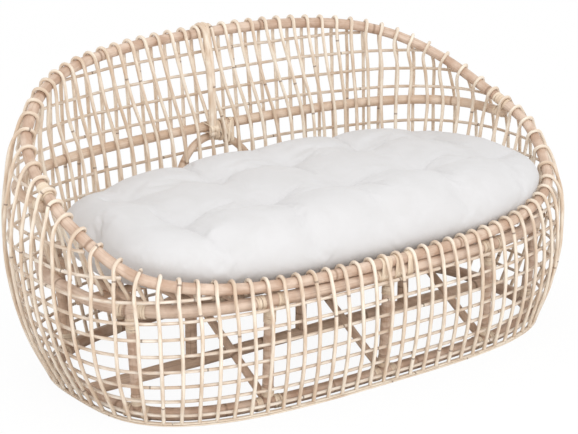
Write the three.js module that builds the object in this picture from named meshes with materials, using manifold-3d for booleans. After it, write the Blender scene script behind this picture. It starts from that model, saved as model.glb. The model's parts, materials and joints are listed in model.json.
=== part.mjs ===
// A two-seat rattan lounge sofa: an oval basket of bent canes over a pole frame,
// low at the front and high at the back, with a loose tufted cushion on a slatted deck.
// Millimetres. X runs across the seat, Y from front to back, Z up from the floor.
import * as THREE from 'three';
import { mergeVertices } from 'three/addons/utils/BufferGeometryUtils.js';
import Module from 'manifold-3d';

const wasm = await Module();
wasm.setup();

// The basket's outside skin: half its width and depth at three heights
const floorHalfWidth = 641;
const bellyHalfWidth = 743;
const crestHalfWidth = 585;
const bellyHeight = 345;
const floorHalfDepth = 350;
const bellyHalfDepth = 385;
const crestHalfDepth = 249;
const depthBellyHeight = 247;
const backLean = 193;
const backLeanPower = 2.78;
const floorCornerPower = 3.15;
const crestCornerPower = 2.45;

// Heights of the main poles' centre lines
const rimBackHeight = 702;
const rimSweep = 6.5;
const seatRingHeight = 270;
const baseRingHeight = 20;

// Where the rail and the upper hoops lie on the climb from the seat ring to the back of the rim
const railShare = 0.4537;
const seatHoopShare = 0.0787;
const lapHoopShare = 0.1991;
const waistHoopShare = 0.3102;
const backHoopShare = 0.5324;
const shoulderHoopShare = 0.6481;
const headHoopShare = 0.7662;
const crestHoopShare = 0.8866;

// The room between the seat ring and the hoops of the skin at its front, rear and sides
const seatFrontRoom = 2.5;
const seatRearRoom = 13.6;
const seatSideRoom = 55.6;
const seatCornerPower = 3;

// Pole diameters
const rimDiameter = 26;
const ringDiameter = 30;
const railDiameter = 25;
const postDiameter = 26;
const midPostDiameter = 28;
const stretcherDiameter = 30;
const braceDiameter = 20;
const bearerDiameter = 24;
const slatDiameter = 20;
const archDiameter = 20;
const centrePostDiameter = 22;

// The canes of the skin: upright stakes outside, level hoops just inside them
const stakeThickness = 9;
const stakeCount = 84;
const stakesPerPanel = 7;
const hoopThickness = 8;
const lowestHoopHeight = 24;
const lowerHoopDrop = 12;
const lowerHoopCount = 7;
const footHoopWidth = 12;
const footHoopThickness = 5;
const footStripThickness = 4.5;

// Where the posts stand, as shares of the way round from the middle of the front or back
const postShare = 0.0972;
const frontCornerShare = 0.1944;
const rearCornerShare = 0.3403;

// The seat deck, the braces and the arch in the back
const slatsEachSide = 6;
const slatPitch = 93;
const slatNotch = 2;
const braceDrop = 8;
const archHalfWidth = 130;
const archInset = 30;

// Where a stake's inner leg meets the seat ring, as angles above the ring's inner side
const frontLegAngle = 55;
const backLegAngle = 30;
const legAngleRise = 150;

// The loose cushion, which lies inside the seat ring
const cushionSideRoom = 8;
const cushionFrontRoom = 2;
const cushionRearRoom = 46;
const cushionCrown = 72;
const cushionUnderside = 96;
const cushionOutlinePower = 3.1;
const cushionTopPower = 4.5;
const cushionBottomPower = 9;
const cushionEdgePower = 0.46;
const tuftPitchX = 230;
const tuftPitchY = 230;
const tuftShiftX = 35;
const tuftShiftY = 6;
const tuftDepth = 34;
const tuftReach = 58;
const channelDepth = 14;
const channelReach = 38;

// Clearance between pieces that touch, and the step for measuring slopes
const fitGap = 0.3;
const probe = 1;

// Counts that set how finely things are drawn
const outlineSamples = 1440;
const placeSteps = 8;
const skinBands = 6;
const roundSides = 8;
const railSides = 6;
const loopSteps = 4;
const archSteps = 10;
const searchSteps = 30;
const levelSteps = 8;
const hoopCorner = THREE.MathUtils.degToRad(13);
const longestRingStepCount = 4;
const cushionSectors = 52;
const cushionTopRings = 10;
const cushionBottomRings = 4;

// Values that follow from the sizes above
const backPlace = stakeCount / 2;
const postPlace = postShare * stakeCount;
const seatToCrest = rimBackHeight - seatRingHeight;
const railHeight = seatRingHeight + railShare * seatToCrest;
const lowerHoopPitch = (seatRingHeight - lowerHoopDrop - lowestHoopHeight) / (lowerHoopCount - 1);
const probePlace = 1 / placeSteps;
const rimReach = rimDiameter / 2 / Math.cos(Math.PI / roundSides) + fitGap;
const ringReach = ringDiameter / 2 / Math.cos(Math.PI / roundSides) + fitGap;
const railReach = railDiameter / 2 / Math.cos(Math.PI / railSides) + fitGap;
const hoopReach = (hoopThickness / 2) * Math.SQRT2;
const rimInset = stakeThickness + fitGap + rimDiameter / 2;
const hoopInset = stakeThickness + fitGap + hoopThickness / 2;
const behindHoops = stakeThickness + fitGap + hoopThickness + fitGap;
const ringInset = behindHoops + ringDiameter / 2;
const railInset = behindHoops + railDiameter / 2;
const rimFrontHeight = seatRingHeight + ringDiameter / 2 + rimReach;
const footStripBottom = footHoopThickness + fitGap;
const bearerHeight = seatRingHeight - ringDiameter / 2 - fitGap - bearerDiameter / 2;
const slatHeight = bearerHeight + (bearerDiameter + slatDiameter) / 2 - slatNotch;
const cushionFloor = slatHeight + slatDiameter / 2 + fitGap;

const group = new THREE.Group();
const up = new THREE.Vector3(0, 0, 1);

// Finishes
const finishes = {
  pole: { color: 0xd6b08c, roughness: 0.62, metalness: 0 },
  cane: { color: 0xe8cfa9, roughness: 0.6, metalness: 0 },
  frame: { color: 0xb08a6c, roughness: 0.66, metalness: 0 },
  fabric: { color: 0xeeedec, roughness: 0.92, metalness: 0 },
};

function addPiece(name, geometry, finish) {
  const mesh = new THREE.Mesh(geometry, new THREE.MeshStandardMaterial(finishes[finish]));
  mesh.name = name;
  group.add(mesh);
}

// The skin: level sections are rounded rectangles whose size changes with height
function signedPower(value, power) {
  return Math.sign(value) * Math.abs(value) ** power;
}

function bulge(height, peakHeight, peakSize, floorSize, crestSize) {
  const below = height < peakHeight;
  const endSize = below ? floorSize : crestSize;
  const span = below ? peakHeight : rimBackHeight - peakHeight;
  return peakSize - (peakSize - endSize) * ((height - peakHeight) / span) ** 2;
}

function roundedOutline(halfWidth, halfDepth, centreY, cornerPower, height) {
  const samples = [];
  let length = 0;
  for (let index = 0; index <= outlineSamples; index += 1) {
    const turn = (2 * Math.PI * index) / outlineSamples;
    const x = halfWidth * signedPower(Math.sin(turn), 2 / cornerPower);
    const y = centreY - halfDepth * signedPower(Math.cos(turn), 2 / cornerPower);
    const point = new THREE.Vector3(x, y, height);
    length += index > 0 ? point.distanceTo(samples[index - 1].point) : 0;
    samples.push({ point, length });
  }
  return samples;
}

function skinHalfWidth(height) {
  return bulge(height, bellyHeight, bellyHalfWidth, floorHalfWidth, crestHalfWidth);
}

function skinHalfDepth(height) {
  return bulge(height, depthBellyHeight, bellyHalfDepth, floorHalfDepth, crestHalfDepth);
}

function skinCentreY(height) {
  return backLean * (height / rimBackHeight) ** backLeanPower;
}

function skinOutline(height) {
  const cornerPower = THREE.MathUtils.lerp(floorCornerPower, crestCornerPower, height / rimBackHeight);
  return roundedOutline(
    skinHalfWidth(height), skinHalfDepth(height), skinCentreY(height), cornerPower, height,
  );
}

// Points in equal steps round an outline, a few to every stake
function evenPoints(outline) {
  const points = [];
  let after = 1;
  for (let step = 0; step < stakeCount * placeSteps; step += 1) {
    const length = (outline.at(-1).length * step) / (stakeCount * placeSteps);
    while (outline[after].length < length) {
      after += 1;
    }
    const [low, high] = [outline[after - 1], outline[after]];
    const share = (length - low.length) / (high.length - low.length);
    points.push(low.point.clone().lerp(high.point, share));
  }
  return points;
}

// The point of an outline that is nearest in plan
function nearestPoint(outline, point) {
  const target = point.clone().setZ(outline[0].point.z);
  const side = new THREE.Line3();
  const candidate = new THREE.Vector3();
  const nearest = outline[0].point.clone();
  for (let index = 1; index < outline.length; index += 1) {
    side.set(outline[index - 1].point, outline[index].point);
    side.closestPointToPoint(target, true, candidate);
    if (candidate.distanceToSquared(target) < nearest.distanceToSquared(target)) {
      nearest.copy(candidate);
    }
  }
  return nearest;
}

// Stakes stand evenly on the floor and climb straight: each level's point is the one
// nearest to the point below it
const levels = [evenPoints(skinOutline(0))];
for (let band = 1; band <= skinBands; band += 1) {
  const outline = skinOutline((rimBackHeight * band) / skinBands);
  levels.push(levels[band - 1].map((point) => nearestPoint(outline, point)));
}

// Places are counted in stake spacings from the middle of the front, towards +X
function atPlace(points, place) {
  const step = place * placeSteps;
  const low = Math.floor(step);
  const count = points.length;
  const before = points[((low % count) + count) % count];
  const after = points[(((low + 1) % count) + count) % count];
  return before.clone().lerp(after, step - low);
}

function skinPoint(place, height) {
  const level = (skinBands * height) / rimBackHeight;
  const band = THREE.MathUtils.clamp(Math.floor(level), 0, skinBands - 1);
  return atPlace(levels[band], place).lerp(atPlace(levels[band + 1], place), level - band);
}

function skinNormal(place, height) {
  const across = skinPoint(place + probePlace, height).sub(skinPoint(place - probePlace, height));
  const rise = skinPoint(place, height + probe).sub(skinPoint(place, height - probe));
  return across.cross(rise).normalize();
}

// The point at a given height that lies a given depth behind the skin, and the way out there
function behindSkin(place, height, inset) {
  let skinHeight = height;
  for (let step = 0; step < levelSteps; step += 1) {
    skinHeight = height + inset * skinNormal(place, skinHeight).z;
  }
  const outward = skinNormal(place, skinHeight);
  const point = skinPoint(place, skinHeight).addScaledVector(outward, -inset);
  return { point, outward, skinHeight };
}

function insetPoint(place, height, inset) {
  return behindSkin(place, height, inset).point;
}

function levelOutward(place, height) {
  return skinNormal(place, height).setZ(0).normalize();
}

// The seat ring's own outline, set well inside the belly of the skin
const seatHalfWidth = skinHalfWidth(seatRingHeight) - ringInset - seatSideRoom;
const seatHalfDepth = skinHalfDepth(seatRingHeight) - ringInset - (seatFrontRoom + seatRearRoom) / 2;
const seatCentreY = skinCentreY(seatRingHeight) + (seatFrontRoom - seatRearRoom) / 2;
const seatOutline = roundedOutline(
  seatHalfWidth, seatHalfDepth, seatCentreY, seatCornerPower, seatRingHeight,
);

const seatPoints = levels[0].map((_, step) => (
  nearestPoint(seatOutline, skinPoint(step / placeSteps, seatRingHeight))
));

function seatPoint(place) {
  return atPlace(seatPoints, place);
}

function seatOutward(place) {
  const along = seatPoint(place + probePlace).sub(seatPoint(place - probePlace));
  return new THREE.Vector3(along.y, -along.x, 0).normalize();
}

const stakeSpacing = skinPoint(-1 / 2, 0).distanceTo(skinPoint(1 / 2, 0));
const seatSpacing = seatPoint(backPlace - 1 / 2).distanceTo(seatPoint(backPlace + 1 / 2));

// The rim lies nearly in one plane that rises from the front to the back
const rimFrontY = skinPoint(0, rimFrontHeight).y;
const rimBackY = skinPoint(backPlace, rimBackHeight).y;

function rimHeight(place) {
  let height = rimFrontHeight;
  for (let step = 0; step < searchSteps; step += 1) {
    const share = (skinPoint(place, height).y - rimFrontY) / (rimBackY - rimFrontY);
    const sweep = rimSweep * Math.sin(4 * Math.PI * share);
    height = THREE.MathUtils.lerp(rimFrontHeight, rimBackHeight, share) - sweep;
  }
  return height;
}

function rimPoint(place) {
  return insetPoint(place, rimHeight(place), rimInset);
}

// The extra room a stake's width needs on the inside of a ring's corner
function cornerRoom(pointAt, place) {
  const here = pointAt(place);
  const turned = here.clone().sub(pointAt(place - 1)).angleTo(pointAt(place + 1).sub(here));
  return (stakeThickness / 2) * Math.tan(turned / 2);
}

// Poles: a section swept through points, with one side of it turned towards a facing
class PolePath extends THREE.Curve {
  constructor(points, facings, closed) {
    super();
    this.points = closed ? [...points, points[0]] : points;
    this.facings = closed ? [...facings, facings[0]] : facings;
    this.closed = closed;
  }

  getPoint(share, target = new THREE.Vector3()) {
    const place = share * (this.points.length - 1);
    const index = Math.min(Math.floor(place), this.points.length - 2);
    return target.copy(this.points[index]).lerp(this.points[index + 1], place - index);
  }

  getPointAt(share, target) {
    return this.getPoint(share, target);
  }

  computeFrenetFrames() {
    const last = this.points.length - 1;
    const tangents = this.points.map((point, index) => {
      const before = index > 0 ? index - 1 : (this.closed ? last - 1 : 0);
      const after = index < last ? index + 1 : (this.closed ? 1 : last);
      const arrive = point.clone().sub(this.points[before]).normalize();
      const leave = this.points[after].clone().sub(point).normalize();
      return arrive.add(leave).normalize();
    });
    const normals = this.facings.map((facing, index) => {
      const along = facing.dot(tangents[index]);
      return facing.clone().addScaledVector(tangents[index], -along).normalize();
    });
    const binormals = tangents.map((tangent, index) => tangent.clone().cross(normals[index]));
    return { tangents, normals, binormals };
  }
}

// A round pole's section turns a flat side to its facing, or a corner where asked
function roundShape(diameter, sides = roundSides, corner = false) {
  const reach = diameter / 2 / Math.cos(Math.PI / sides);
  const corners = [];
  for (let index = 0; index < sides; index += 1) {
    const angle = (2 * Math.PI * (index + (corner ? 0 : 1 / 2))) / sides;
    corners.push(new THREE.Vector2(Math.cos(angle), Math.sin(angle)).multiplyScalar(reach));
  }
  return new THREE.Shape(corners);
}

function flatShape(width, height) {
  const [x, y] = [width / 2, height / 2];
  return new THREE.Shape([
    new THREE.Vector2(-x, -y), new THREE.Vector2(x, -y), new THREE.Vector2(x, y), new THREE.Vector2(-x, y),
  ]);
}

// Merge a geometry's corners, and drop the end faces where a closed sweep meets itself
function weld(geometry) {
  geometry.deleteAttribute('normal');
  geometry.deleteAttribute('uv');
  const merged = mergeVertices(geometry);
  const seen = new Map();
  const index = merged.getIndex().array;
  for (let start = 0; start < index.length; start += 3) {
    const corners = [index[start], index[start + 1], index[start + 2]];
    const key = [...corners].sort((a, b) => a - b).join();
    if (seen.has(key)) {
      seen.delete(key);
    } else if (new Set(corners).size === corners.length) {
      seen.set(key, corners);
    }
  }
  merged.setIndex([...seen.values()].flat());
  return merged;
}

function sweep(shape, points, facings, closed = false) {
  const path = new PolePath(points, facings, closed);
  return weld(new THREE.ExtrudeGeometry(shape, { steps: path.points.length - 1, extrudePath: path }));
}

function straightPole(start, end, diameter) {
  const along = end.clone().sub(start).normalize();
  const facing = Math.abs(along.z) > Math.SQRT1_2 ? new THREE.Vector3(0, 1, 0) : up;
  return sweep(roundShape(diameter), [start, end], [facing, facing]);
}

// Solids for joins and cuts
function toSolid(geometry) {
  return new wasm.Manifold(new wasm.Mesh({
    numProp: 3,
    vertProperties: new Float32Array(geometry.getAttribute('position').array),
    triVerts: new Uint32Array(geometry.getIndex().array),
  }));
}

function toGeometry(solid) {
  const mesh = solid.getMesh();
  const geometry = new THREE.BufferGeometry();
  geometry.setAttribute('position', new THREE.BufferAttribute(mesh.vertProperties, mesh.numProp));
  geometry.setIndex(new THREE.BufferAttribute(mesh.triVerts, 1));
  return geometry;
}

// Cut a body where it meets its neighbours, and keep its main length
function mainBody(body, neighbours) {
  let cut = body;
  for (const neighbour of neighbours) {
    cut = cut.subtract(neighbour);
  }
  return cut.decompose().sort((a, b) => b.volume() - a.volume())[0];
}

function cutPole(start, end, diameter, neighbours) {
  return mainBody(toSolid(straightPole(start, end, diameter)), neighbours);
}

// Rings turn a corner at every stake, or where they have turned enough since the last one,
// and always on both sides of the middle of the front and of the back
function ringPlaces(cornerAngle) {
  const half = [1 / 2];
  for (let place = 3 / 2; place < backPlace; place += 1) {
    const normal = levelOutward(place, seatRingHeight);
    const turned = normal.angleTo(levelOutward(half.at(-1), seatRingHeight));
    const due = turned >= cornerAngle || place - half.at(-1) >= longestRingStepCount;
    if (due || place + 1 > backPlace) {
      half.push(place);
    }
  }
  return [...half, ...half.map((place) => stakeCount - place).reverse()];
}

const everyStake = ringPlaces(0);
const hoopStakes = ringPlaces(hoopCorner);

function levelRing(shape, height, inset, places) {
  const path = places.map((place) => behindSkin(place, height, inset));
  return sweep(shape, path.map(({ point }) => point), path.map(({ outward }) => outward), true);
}

function seatRing(shape) {
  return sweep(shape, everyStake.map(seatPoint), everyStake.map(seatOutward), true);
}

// Main rings of the frame
const rimLine = everyStake.map(rimPoint);

function makeRings() {
  const rimFacings = everyStake.map((place) => behindSkin(place, rimHeight(place), rimInset).outward);
  const rimShape = roundShape(rimDiameter, roundSides, true);
  addPiece('top_rim', sweep(rimShape, rimLine, rimFacings, true), 'pole');
  const ring = roundShape(ringDiameter);
  addPiece('seat_ring', seatRing(ring), 'pole');
  addPiece('base_ring', levelRing(ring, baseRingHeight, ringInset, hoopStakes), 'pole');
  const foot = flatShape(footHoopWidth, footHoopThickness);
  const facings = hoopStakes.map((place) => levelOutward(place, footHoopThickness / 2));
  const points = hoopStakes.map((place) => footPoint(place, footHoopThickness / 2));
  addPiece('foot_hoop', sweep(foot, points, facings, true), 'cane');
}

function footPoint(place, height) {
  const inset = -footHoopWidth / 2;
  return skinPoint(place, height).addScaledVector(levelOutward(place, height), inset);
}

// Hoops: whole ones under the seat, and ones that end under the rim above it
const upperHoopHeights = {
  seat: seatRingHeight + seatHoopShare * seatToCrest,
  lap: seatRingHeight + lapHoopShare * seatToCrest,
  waist: seatRingHeight + waistHoopShare * seatToCrest,
  back: seatRingHeight + backHoopShare * seatToCrest,
  shoulder: seatRingHeight + shoulderHoopShare * seatToCrest,
  head: seatRingHeight + headHoopShare * seatToCrest,
  crest: seatRingHeight + crestHoopShare * seatToCrest,
};

function makeHoops() {
  const cane = flatShape(hoopThickness, hoopThickness);
  for (let index = 0; index < lowerHoopCount; index += 1) {
    const height = lowestHoopHeight + index * lowerHoopPitch;
    addPiece(`hoop_lower_${index + 1}`, levelRing(cane, height, hoopInset, hoopStakes), 'cane');
  }
  for (const [name, height] of Object.entries(upperHoopHeights)) {
    const hoop = openHoop(cane, height, hoopInset, rimReach + hoopReach, hoopStakes);
    addPiece(`hoop_${name}`, hoop, 'cane');
  }
}

// How far round from the back a level pole runs before it meets the rim
function rimDistance(point) {
  let distance = Infinity;
  for (let index = 0; index < rimLine.length; index += 1) {
    const side = new THREE.Line3(rimLine[index], rimLine[(index + 1) % rimLine.length]);
    const nearest = side.closestPointToPoint(point, true, new THREE.Vector3());
    distance = Math.min(distance, nearest.distanceTo(point));
  }
  return distance;
}

function openHoopEnd(height, inset, reach) {
  const isClear = (place) => rimDistance(insetPoint(backPlace + place, height, inset)) > reach;
  let clear = 0;
  while (clear < backPlace && isClear(clear + probePlace)) {
    clear += probePlace;
  }
  let stride = probePlace / 2;
  for (let step = 0; step < levelSteps; step += 1) {
    clear += isClear(clear + stride) ? stride : 0;
    stride /= 2;
  }
  return clear;
}

function openHoop(shape, height, inset, reach, places) {
  const end = openHoopEnd(height, inset, reach);
  const near = places.filter((place) => Math.abs(place - backPlace) < end - probePlace);
  const stops = [backPlace - end, ...near, backPlace + end];
  const path = stops.map((place) => behindSkin(place, height, inset));
  return sweep(shape, path.map(({ point }) => point), path.map(({ outward }) => outward));
}

const railEnd = openHoopEnd(railHeight, railInset, rimReach + railReach);

// Stakes: each rises outside from the floor, bends over the rim and comes down inside
function stakePath(place) {
  const height = rimHeight(place);
  const { point: centre, outward, skinHeight } = behindSkin(place, height, rimInset);
  const arrive = centre.clone().sub(rimPoint(place - 1)).normalize();
  const leave = rimPoint(place + 1).sub(centre).normalize();
  const rimAlong = arrive.add(leave).normalize();
  outward.addScaledVector(rimAlong, -outward.dot(rimAlong)).normalize();
  const rise = outward.clone().cross(rimAlong);
  const foot = behindSkin(place, footStripBottom + footStripThickness / 2, stakeThickness / 2);
  const points = [foot.point];
  const facings = [foot.outward];
  for (let band = 1; band < skinBands; band += 1) {
    const z = (rimBackHeight * band) / skinBands;
    if (z < skinHeight - stakeThickness) {
      const normal = skinNormal(place, z);
      points.push(skinPoint(place, z).addScaledVector(normal, -stakeThickness / 2));
      facings.push(normal);
    }
  }
  const rimRoom = fitGap + cornerRoom(rimPoint, place);
  const loopReach = rimReach + rimRoom + stakeThickness / 2 / Math.cos(Math.PI / roundSides);
  for (let step = 0; step <= loopSteps; step += 1) {
    const angle = (Math.PI * step) / loopSteps;
    const aim = outward.clone().multiplyScalar(Math.cos(angle)).addScaledVector(rise, Math.sin(angle));
    points.push(centre.clone().addScaledVector(aim, loopReach));
    facings.push(aim);
  }
  if (Math.abs(place - backPlace) < railEnd + stakeThickness / stakeSpacing) {
    const rail = behindSkin(place, railHeight, railInset + railReach + rimRoom + stakeThickness / 2);
    points.push(rail.point);
    facings.push(rail.outward.negate());
  }
  const climb = Math.min(1, (height - rimFrontHeight) / legAngleRise);
  const legAngle = THREE.MathUtils.degToRad(THREE.MathUtils.lerp(frontLegAngle, backLegAngle, climb));
  const seatReach = ringReach + cornerRoom(seatPoint, place) + stakeThickness / 2;
  const inward = seatOutward(place).negate();
  const plumb = Math.max(0, points.at(-1).clone().sub(seatPoint(place)).dot(inward));
  const across = THREE.MathUtils.lerp(plumb, seatReach * Math.cos(legAngle), climb);
  const low = seatReach * Math.sin(legAngle);
  const rest = Math.max(low, Math.sqrt(Math.max(0, seatReach ** 2 - across ** 2)));
  points.push(seatPoint(place).addScaledVector(inward, across).addScaledVector(up, rest));
  facings.push(inward);
  return { points, facings };
}

// Panels: neighbouring stakes fixed in one length of the flat cane at their feet
function stripEndGap(place, height) {
  const turned = levelOutward(place - 1 / 2, height).angleTo(levelOutward(place + 1 / 2, height));
  return (fitGap / 2 + (footHoopWidth / 2) * Math.tan(turned / 2)) / stakeSpacing;
}

function makeStakePanels() {
  const cane = flatShape(stakeThickness, stakeThickness);
  const strip = flatShape(footHoopWidth, footStripThickness);
  const height = footStripBottom + footStripThickness / 2;
  for (let first = 0; first < stakeCount; first += stakesPerPanel) {
    const end = Math.min(first + stakesPerPanel, stakeCount);
    const places = [first + stripEndGap(first, height)];
    for (let stake = first; stake < end; stake += 1) {
      places.push(stake + 1 / 2);
    }
    places.push(end - stripEndGap(end, height));
    const points = places.map((place) => footPoint(place, height));
    let solid = toSolid(sweep(strip, points, places.map((place) => levelOutward(place, height))));
    for (const place of places.slice(1, -1)) {
      const stake = stakePath(place);
      solid = solid.add(toSolid(sweep(cane, stake.points, stake.facings)));
    }
    const number = String(first / stakesPerPanel + 1).padStart(2, '0');
    addPiece(`stake_panel_${number}`, toGeometry(solid), 'cane');
  }
}

// Posts between the base ring and the seat ring, coped to both
const grownRing = roundShape(ringDiameter + 2 * fitGap);
const baseClearance = toSolid(levelRing(grownRing, baseRingHeight, ringInset, hoopStakes));
const seatClearance = toSolid(seatRing(grownRing));

function baseRingPoint(place) {
  return insetPoint(place, baseRingHeight, ringInset);
}

function onRing(places, pointAt, place) {
  const wrapped = place - stakeCount * Math.floor(place / stakeCount);
  const after = places.find((stop) => stop >= wrapped) ?? places[0] + stakeCount;
  const before = places.findLast((stop) => stop <= wrapped) ?? places.at(-1) - stakeCount;
  const share = after > before ? (wrapped - before) / (after - before) : 0;
  return pointAt(before).lerp(pointAt(after), share);
}

function ringPost(place, diameter) {
  const foot = onRing(hoopStakes, baseRingPoint, place);
  return cutPole(foot, seatPoint(place), diameter, [baseClearance, seatClearance]);
}

const postPlaces = {
  front_centre: 0,
  front_right: postPlace,
  front_left: -postPlace,
  front_corner_right: frontCornerShare * stakeCount,
  front_corner_left: -frontCornerShare * stakeCount,
  rear_corner_right: rearCornerShare * stakeCount,
  rear_corner_left: -rearCornerShare * stakeCount,
  rear_right: backPlace - postPlace,
  rear_left: postPlace - backPlace,
  rear_centre: backPlace,
};

function makePosts() {
  for (const [name, place] of Object.entries(postPlaces)) {
    addPiece(`post_${name}`, toGeometry(ringPost(place, postDiameter)), 'frame');
  }
}

// The stretcher along the floor, its middle posts, and the braces that lean on them
function makeUnderframe() {
  const reach = insetPoint(stakeCount / 4, baseRingHeight, ringInset).x;
  const left = new THREE.Vector3(-reach, 0, baseRingHeight);
  const right = new THREE.Vector3(reach, 0, baseRingHeight);
  addPiece('centre_stretcher', toGeometry(cutPole(left, right, stretcherDiameter, [baseClearance])), 'frame');
  const postFoot = baseRingHeight + stretcherDiameter / 2 + fitGap;
  const postHead = bearerHeight - bearerDiameter / 2 - fitGap;
  for (const [name, place] of Object.entries({ left: -postPlace, centre: 0, right: postPlace })) {
    const x = insetPoint(place, baseRingHeight, ringInset).x;
    const foot = new THREE.Vector3(x, 0, postFoot);
    const head = new THREE.Vector3(x, 0, postHead);
    addPiece(`mid_post_${name}`, straightPole(foot, head, midPostDiameter), 'frame');
    const middle = toSolid(straightPole(foot, head, midPostDiameter + 2 * fitGap));
    for (const [side, ringPlace] of Object.entries({ front: place, rear: backPlace - place })) {
      const start = onRing(hoopStakes, baseRingPoint, ringPlace);
      const top = new THREE.Vector3(x, 0, postHead - braceDrop - braceDiameter);
      const post = toSolid(straightPole(start, seatPoint(ringPlace), postDiameter + 2 * fitGap));
      const brace = cutPole(start, top, braceDiameter, [baseClearance, post, middle]);
      addPiece(`brace_${side}_${name}`, toGeometry(brace), 'frame');
    }
  }
}

// The seat deck: slats from front to back, notched over one long bearer
function ringPlaceAt(x, front) {
  let [low, high] = front ? [0, stakeCount / 4] : [backPlace, stakeCount / 4];
  for (let step = 0; step < searchSteps; step += 1) {
    const place = (low + high) / 2;
    if (seatPoint(place).x < Math.abs(x)) {
      low = place;
    } else {
      high = place;
    }
  }
  return (low + high) / 2;
}

function slatEnd(x, front) {
  const place = ringPlaceAt(x, front);
  const normal = seatOutward(place);
  const clear = (ringDiameter + slatDiameter * Math.abs(normal.x)) / 2 / Math.abs(normal.y);
  const y = seatPoint(place).y - Math.sign(normal.y) * clear;
  return new THREE.Vector3(x, y, slatHeight);
}

function makeDeck() {
  const left = new THREE.Vector3(-seatHalfWidth, 0, bearerHeight);
  const right = new THREE.Vector3(seatHalfWidth, 0, bearerHeight);
  let deck = toSolid(straightPole(left, right, bearerDiameter));
  for (let index = -slatsEachSide; index <= slatsEachSide; index += 1) {
    const x = index * slatPitch;
    deck = deck.add(toSolid(straightPole(slatEnd(x, true), slatEnd(x, false), slatDiameter)));
  }
  deck = deck.subtract(seatClearance);
  for (const place of Object.values(postPlaces)) {
    deck = deck.subtract(ringPost(place, postDiameter + 2 * fitGap));
  }
  addPiece('seat_deck', toGeometry(deck), 'frame');
}

// The rail across the back, the post above it and the arch below it
function makeBack() {
  const rail = roundShape(railDiameter, railSides, true);
  addPiece('back_rail', openHoop(rail, railHeight, railInset, rimReach + railReach, everyStake), 'pole');
  const postInset = behindHoops + centrePostDiameter / 2;
  const postHead = rimHeight(backPlace);
  const hoops = Object.values(upperHoopHeights).filter((z) => z > railHeight && z < postHead);
  const stops = [railHeight, ...hoops.sort((a, b) => a - b), postHead];
  const path = stops.map((z) => behindSkin(backPlace, z, postInset));
  const pole = sweep(
    roundShape(centrePostDiameter), path.map(({ point }) => point), path.map(({ outward }) => outward),
  );
  const railShape = roundShape(railDiameter + 2 * fitGap, railSides, true);
  const rimShape = roundShape(rimDiameter + 2 * fitGap, roundSides, true);
  const rimOut = everyStake.map((place) => behindSkin(place, rimHeight(place), rimInset).outward);
  const railClearance = toSolid(openHoop(railShape, railHeight, railInset, rimReach + railReach, everyStake));
  const rimClearance = toSolid(sweep(rimShape, rimLine, rimOut, true));
  addPiece('back_post', toGeometry(mainBody(toSolid(pole), [railClearance, rimClearance])), 'cane');
  const archTop = railHeight - railReach - archDiameter / 2 / Math.cos(Math.PI / roundSides);
  const points = [];
  const facings = [];
  for (let step = 0; step <= archSteps; step += 1) {
    const angle = (Math.PI * step) / archSteps;
    const z = seatRingHeight + (archTop - seatRingHeight) * Math.sin(angle);
    const place = backPlace - (archHalfWidth * Math.cos(angle)) / seatSpacing;
    const outer = insetPoint(place, z, archInset);
    points.push(outer.lerp(seatPoint(place).setZ(z), 1 - Math.sin(angle)));
    facings.push(skinNormal(place, z));
  }
  const arch = toSolid(sweep(roundShape(archDiameter), points, facings));
  addPiece('back_arch', toGeometry(mainBody(arch, [seatClearance])), 'frame');
}

// The cushion: a crowned oval with drawn-in sides, sewn down at two rows of tufts
const cushionHalfWidth = seatHalfWidth - cushionSideRoom;
const cushionHalfDepth = seatHalfDepth - (cushionFrontRoom + cushionRearRoom) / 2;
const cushionCentreY = seatCentreY + (cushionFrontRoom - cushionRearRoom) / 2;
const tufts = [];
for (const column of [-2, -1, 0, 1, 2]) {
  for (const row of [-1, 1]) {
    const x = tuftShiftX + column * tuftPitchX;
    tufts.push(new THREE.Vector2(x, tuftShiftY + (row * tuftPitchY) / 2));
  }
}

function tuftDrop(x, y) {
  const place = new THREE.Vector2(x, y);
  let drop = 0;
  for (const tuft of tufts) {
    drop = Math.max(drop, tuftDepth * Math.exp(-((place.distanceTo(tuft) / tuftReach) ** 2)));
  }
  const alongX = (2 * Math.PI * (x - tufts[0].x)) / tuftPitchX;
  const alongY = (2 * Math.PI * (y - tufts[0].y)) / tuftPitchY;
  const spreadX = (Math.sin(alongX / 2) * tuftPitchX) / Math.PI / channelReach;
  const spreadY = (Math.sin(alongY / 2) * tuftPitchY) / Math.PI / channelReach;
  const channel = Math.max(Math.exp(-(spreadX ** 2)), Math.exp(-(spreadY ** 2)));
  return Math.max(drop, channelDepth * channel);
}

function cushionPoint(turn, share, top) {
  const x = cushionHalfWidth * share * signedPower(Math.sin(turn), 2 / cushionOutlinePower);
  const y = cushionHalfDepth * share * signedPower(Math.cos(turn), 2 / cushionOutlinePower);
  const power = top ? cushionTopPower : cushionBottomPower;
  const fullness = Math.max(0, 1 - share ** power) ** cushionEdgePower;
  const seam = cushionFloor + cushionUnderside;
  const height = top ? cushionCrown - tuftDrop(x, y) : -cushionUnderside;
  return new THREE.Vector3(x, cushionCentreY + y, seam + height * fullness);
}

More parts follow.
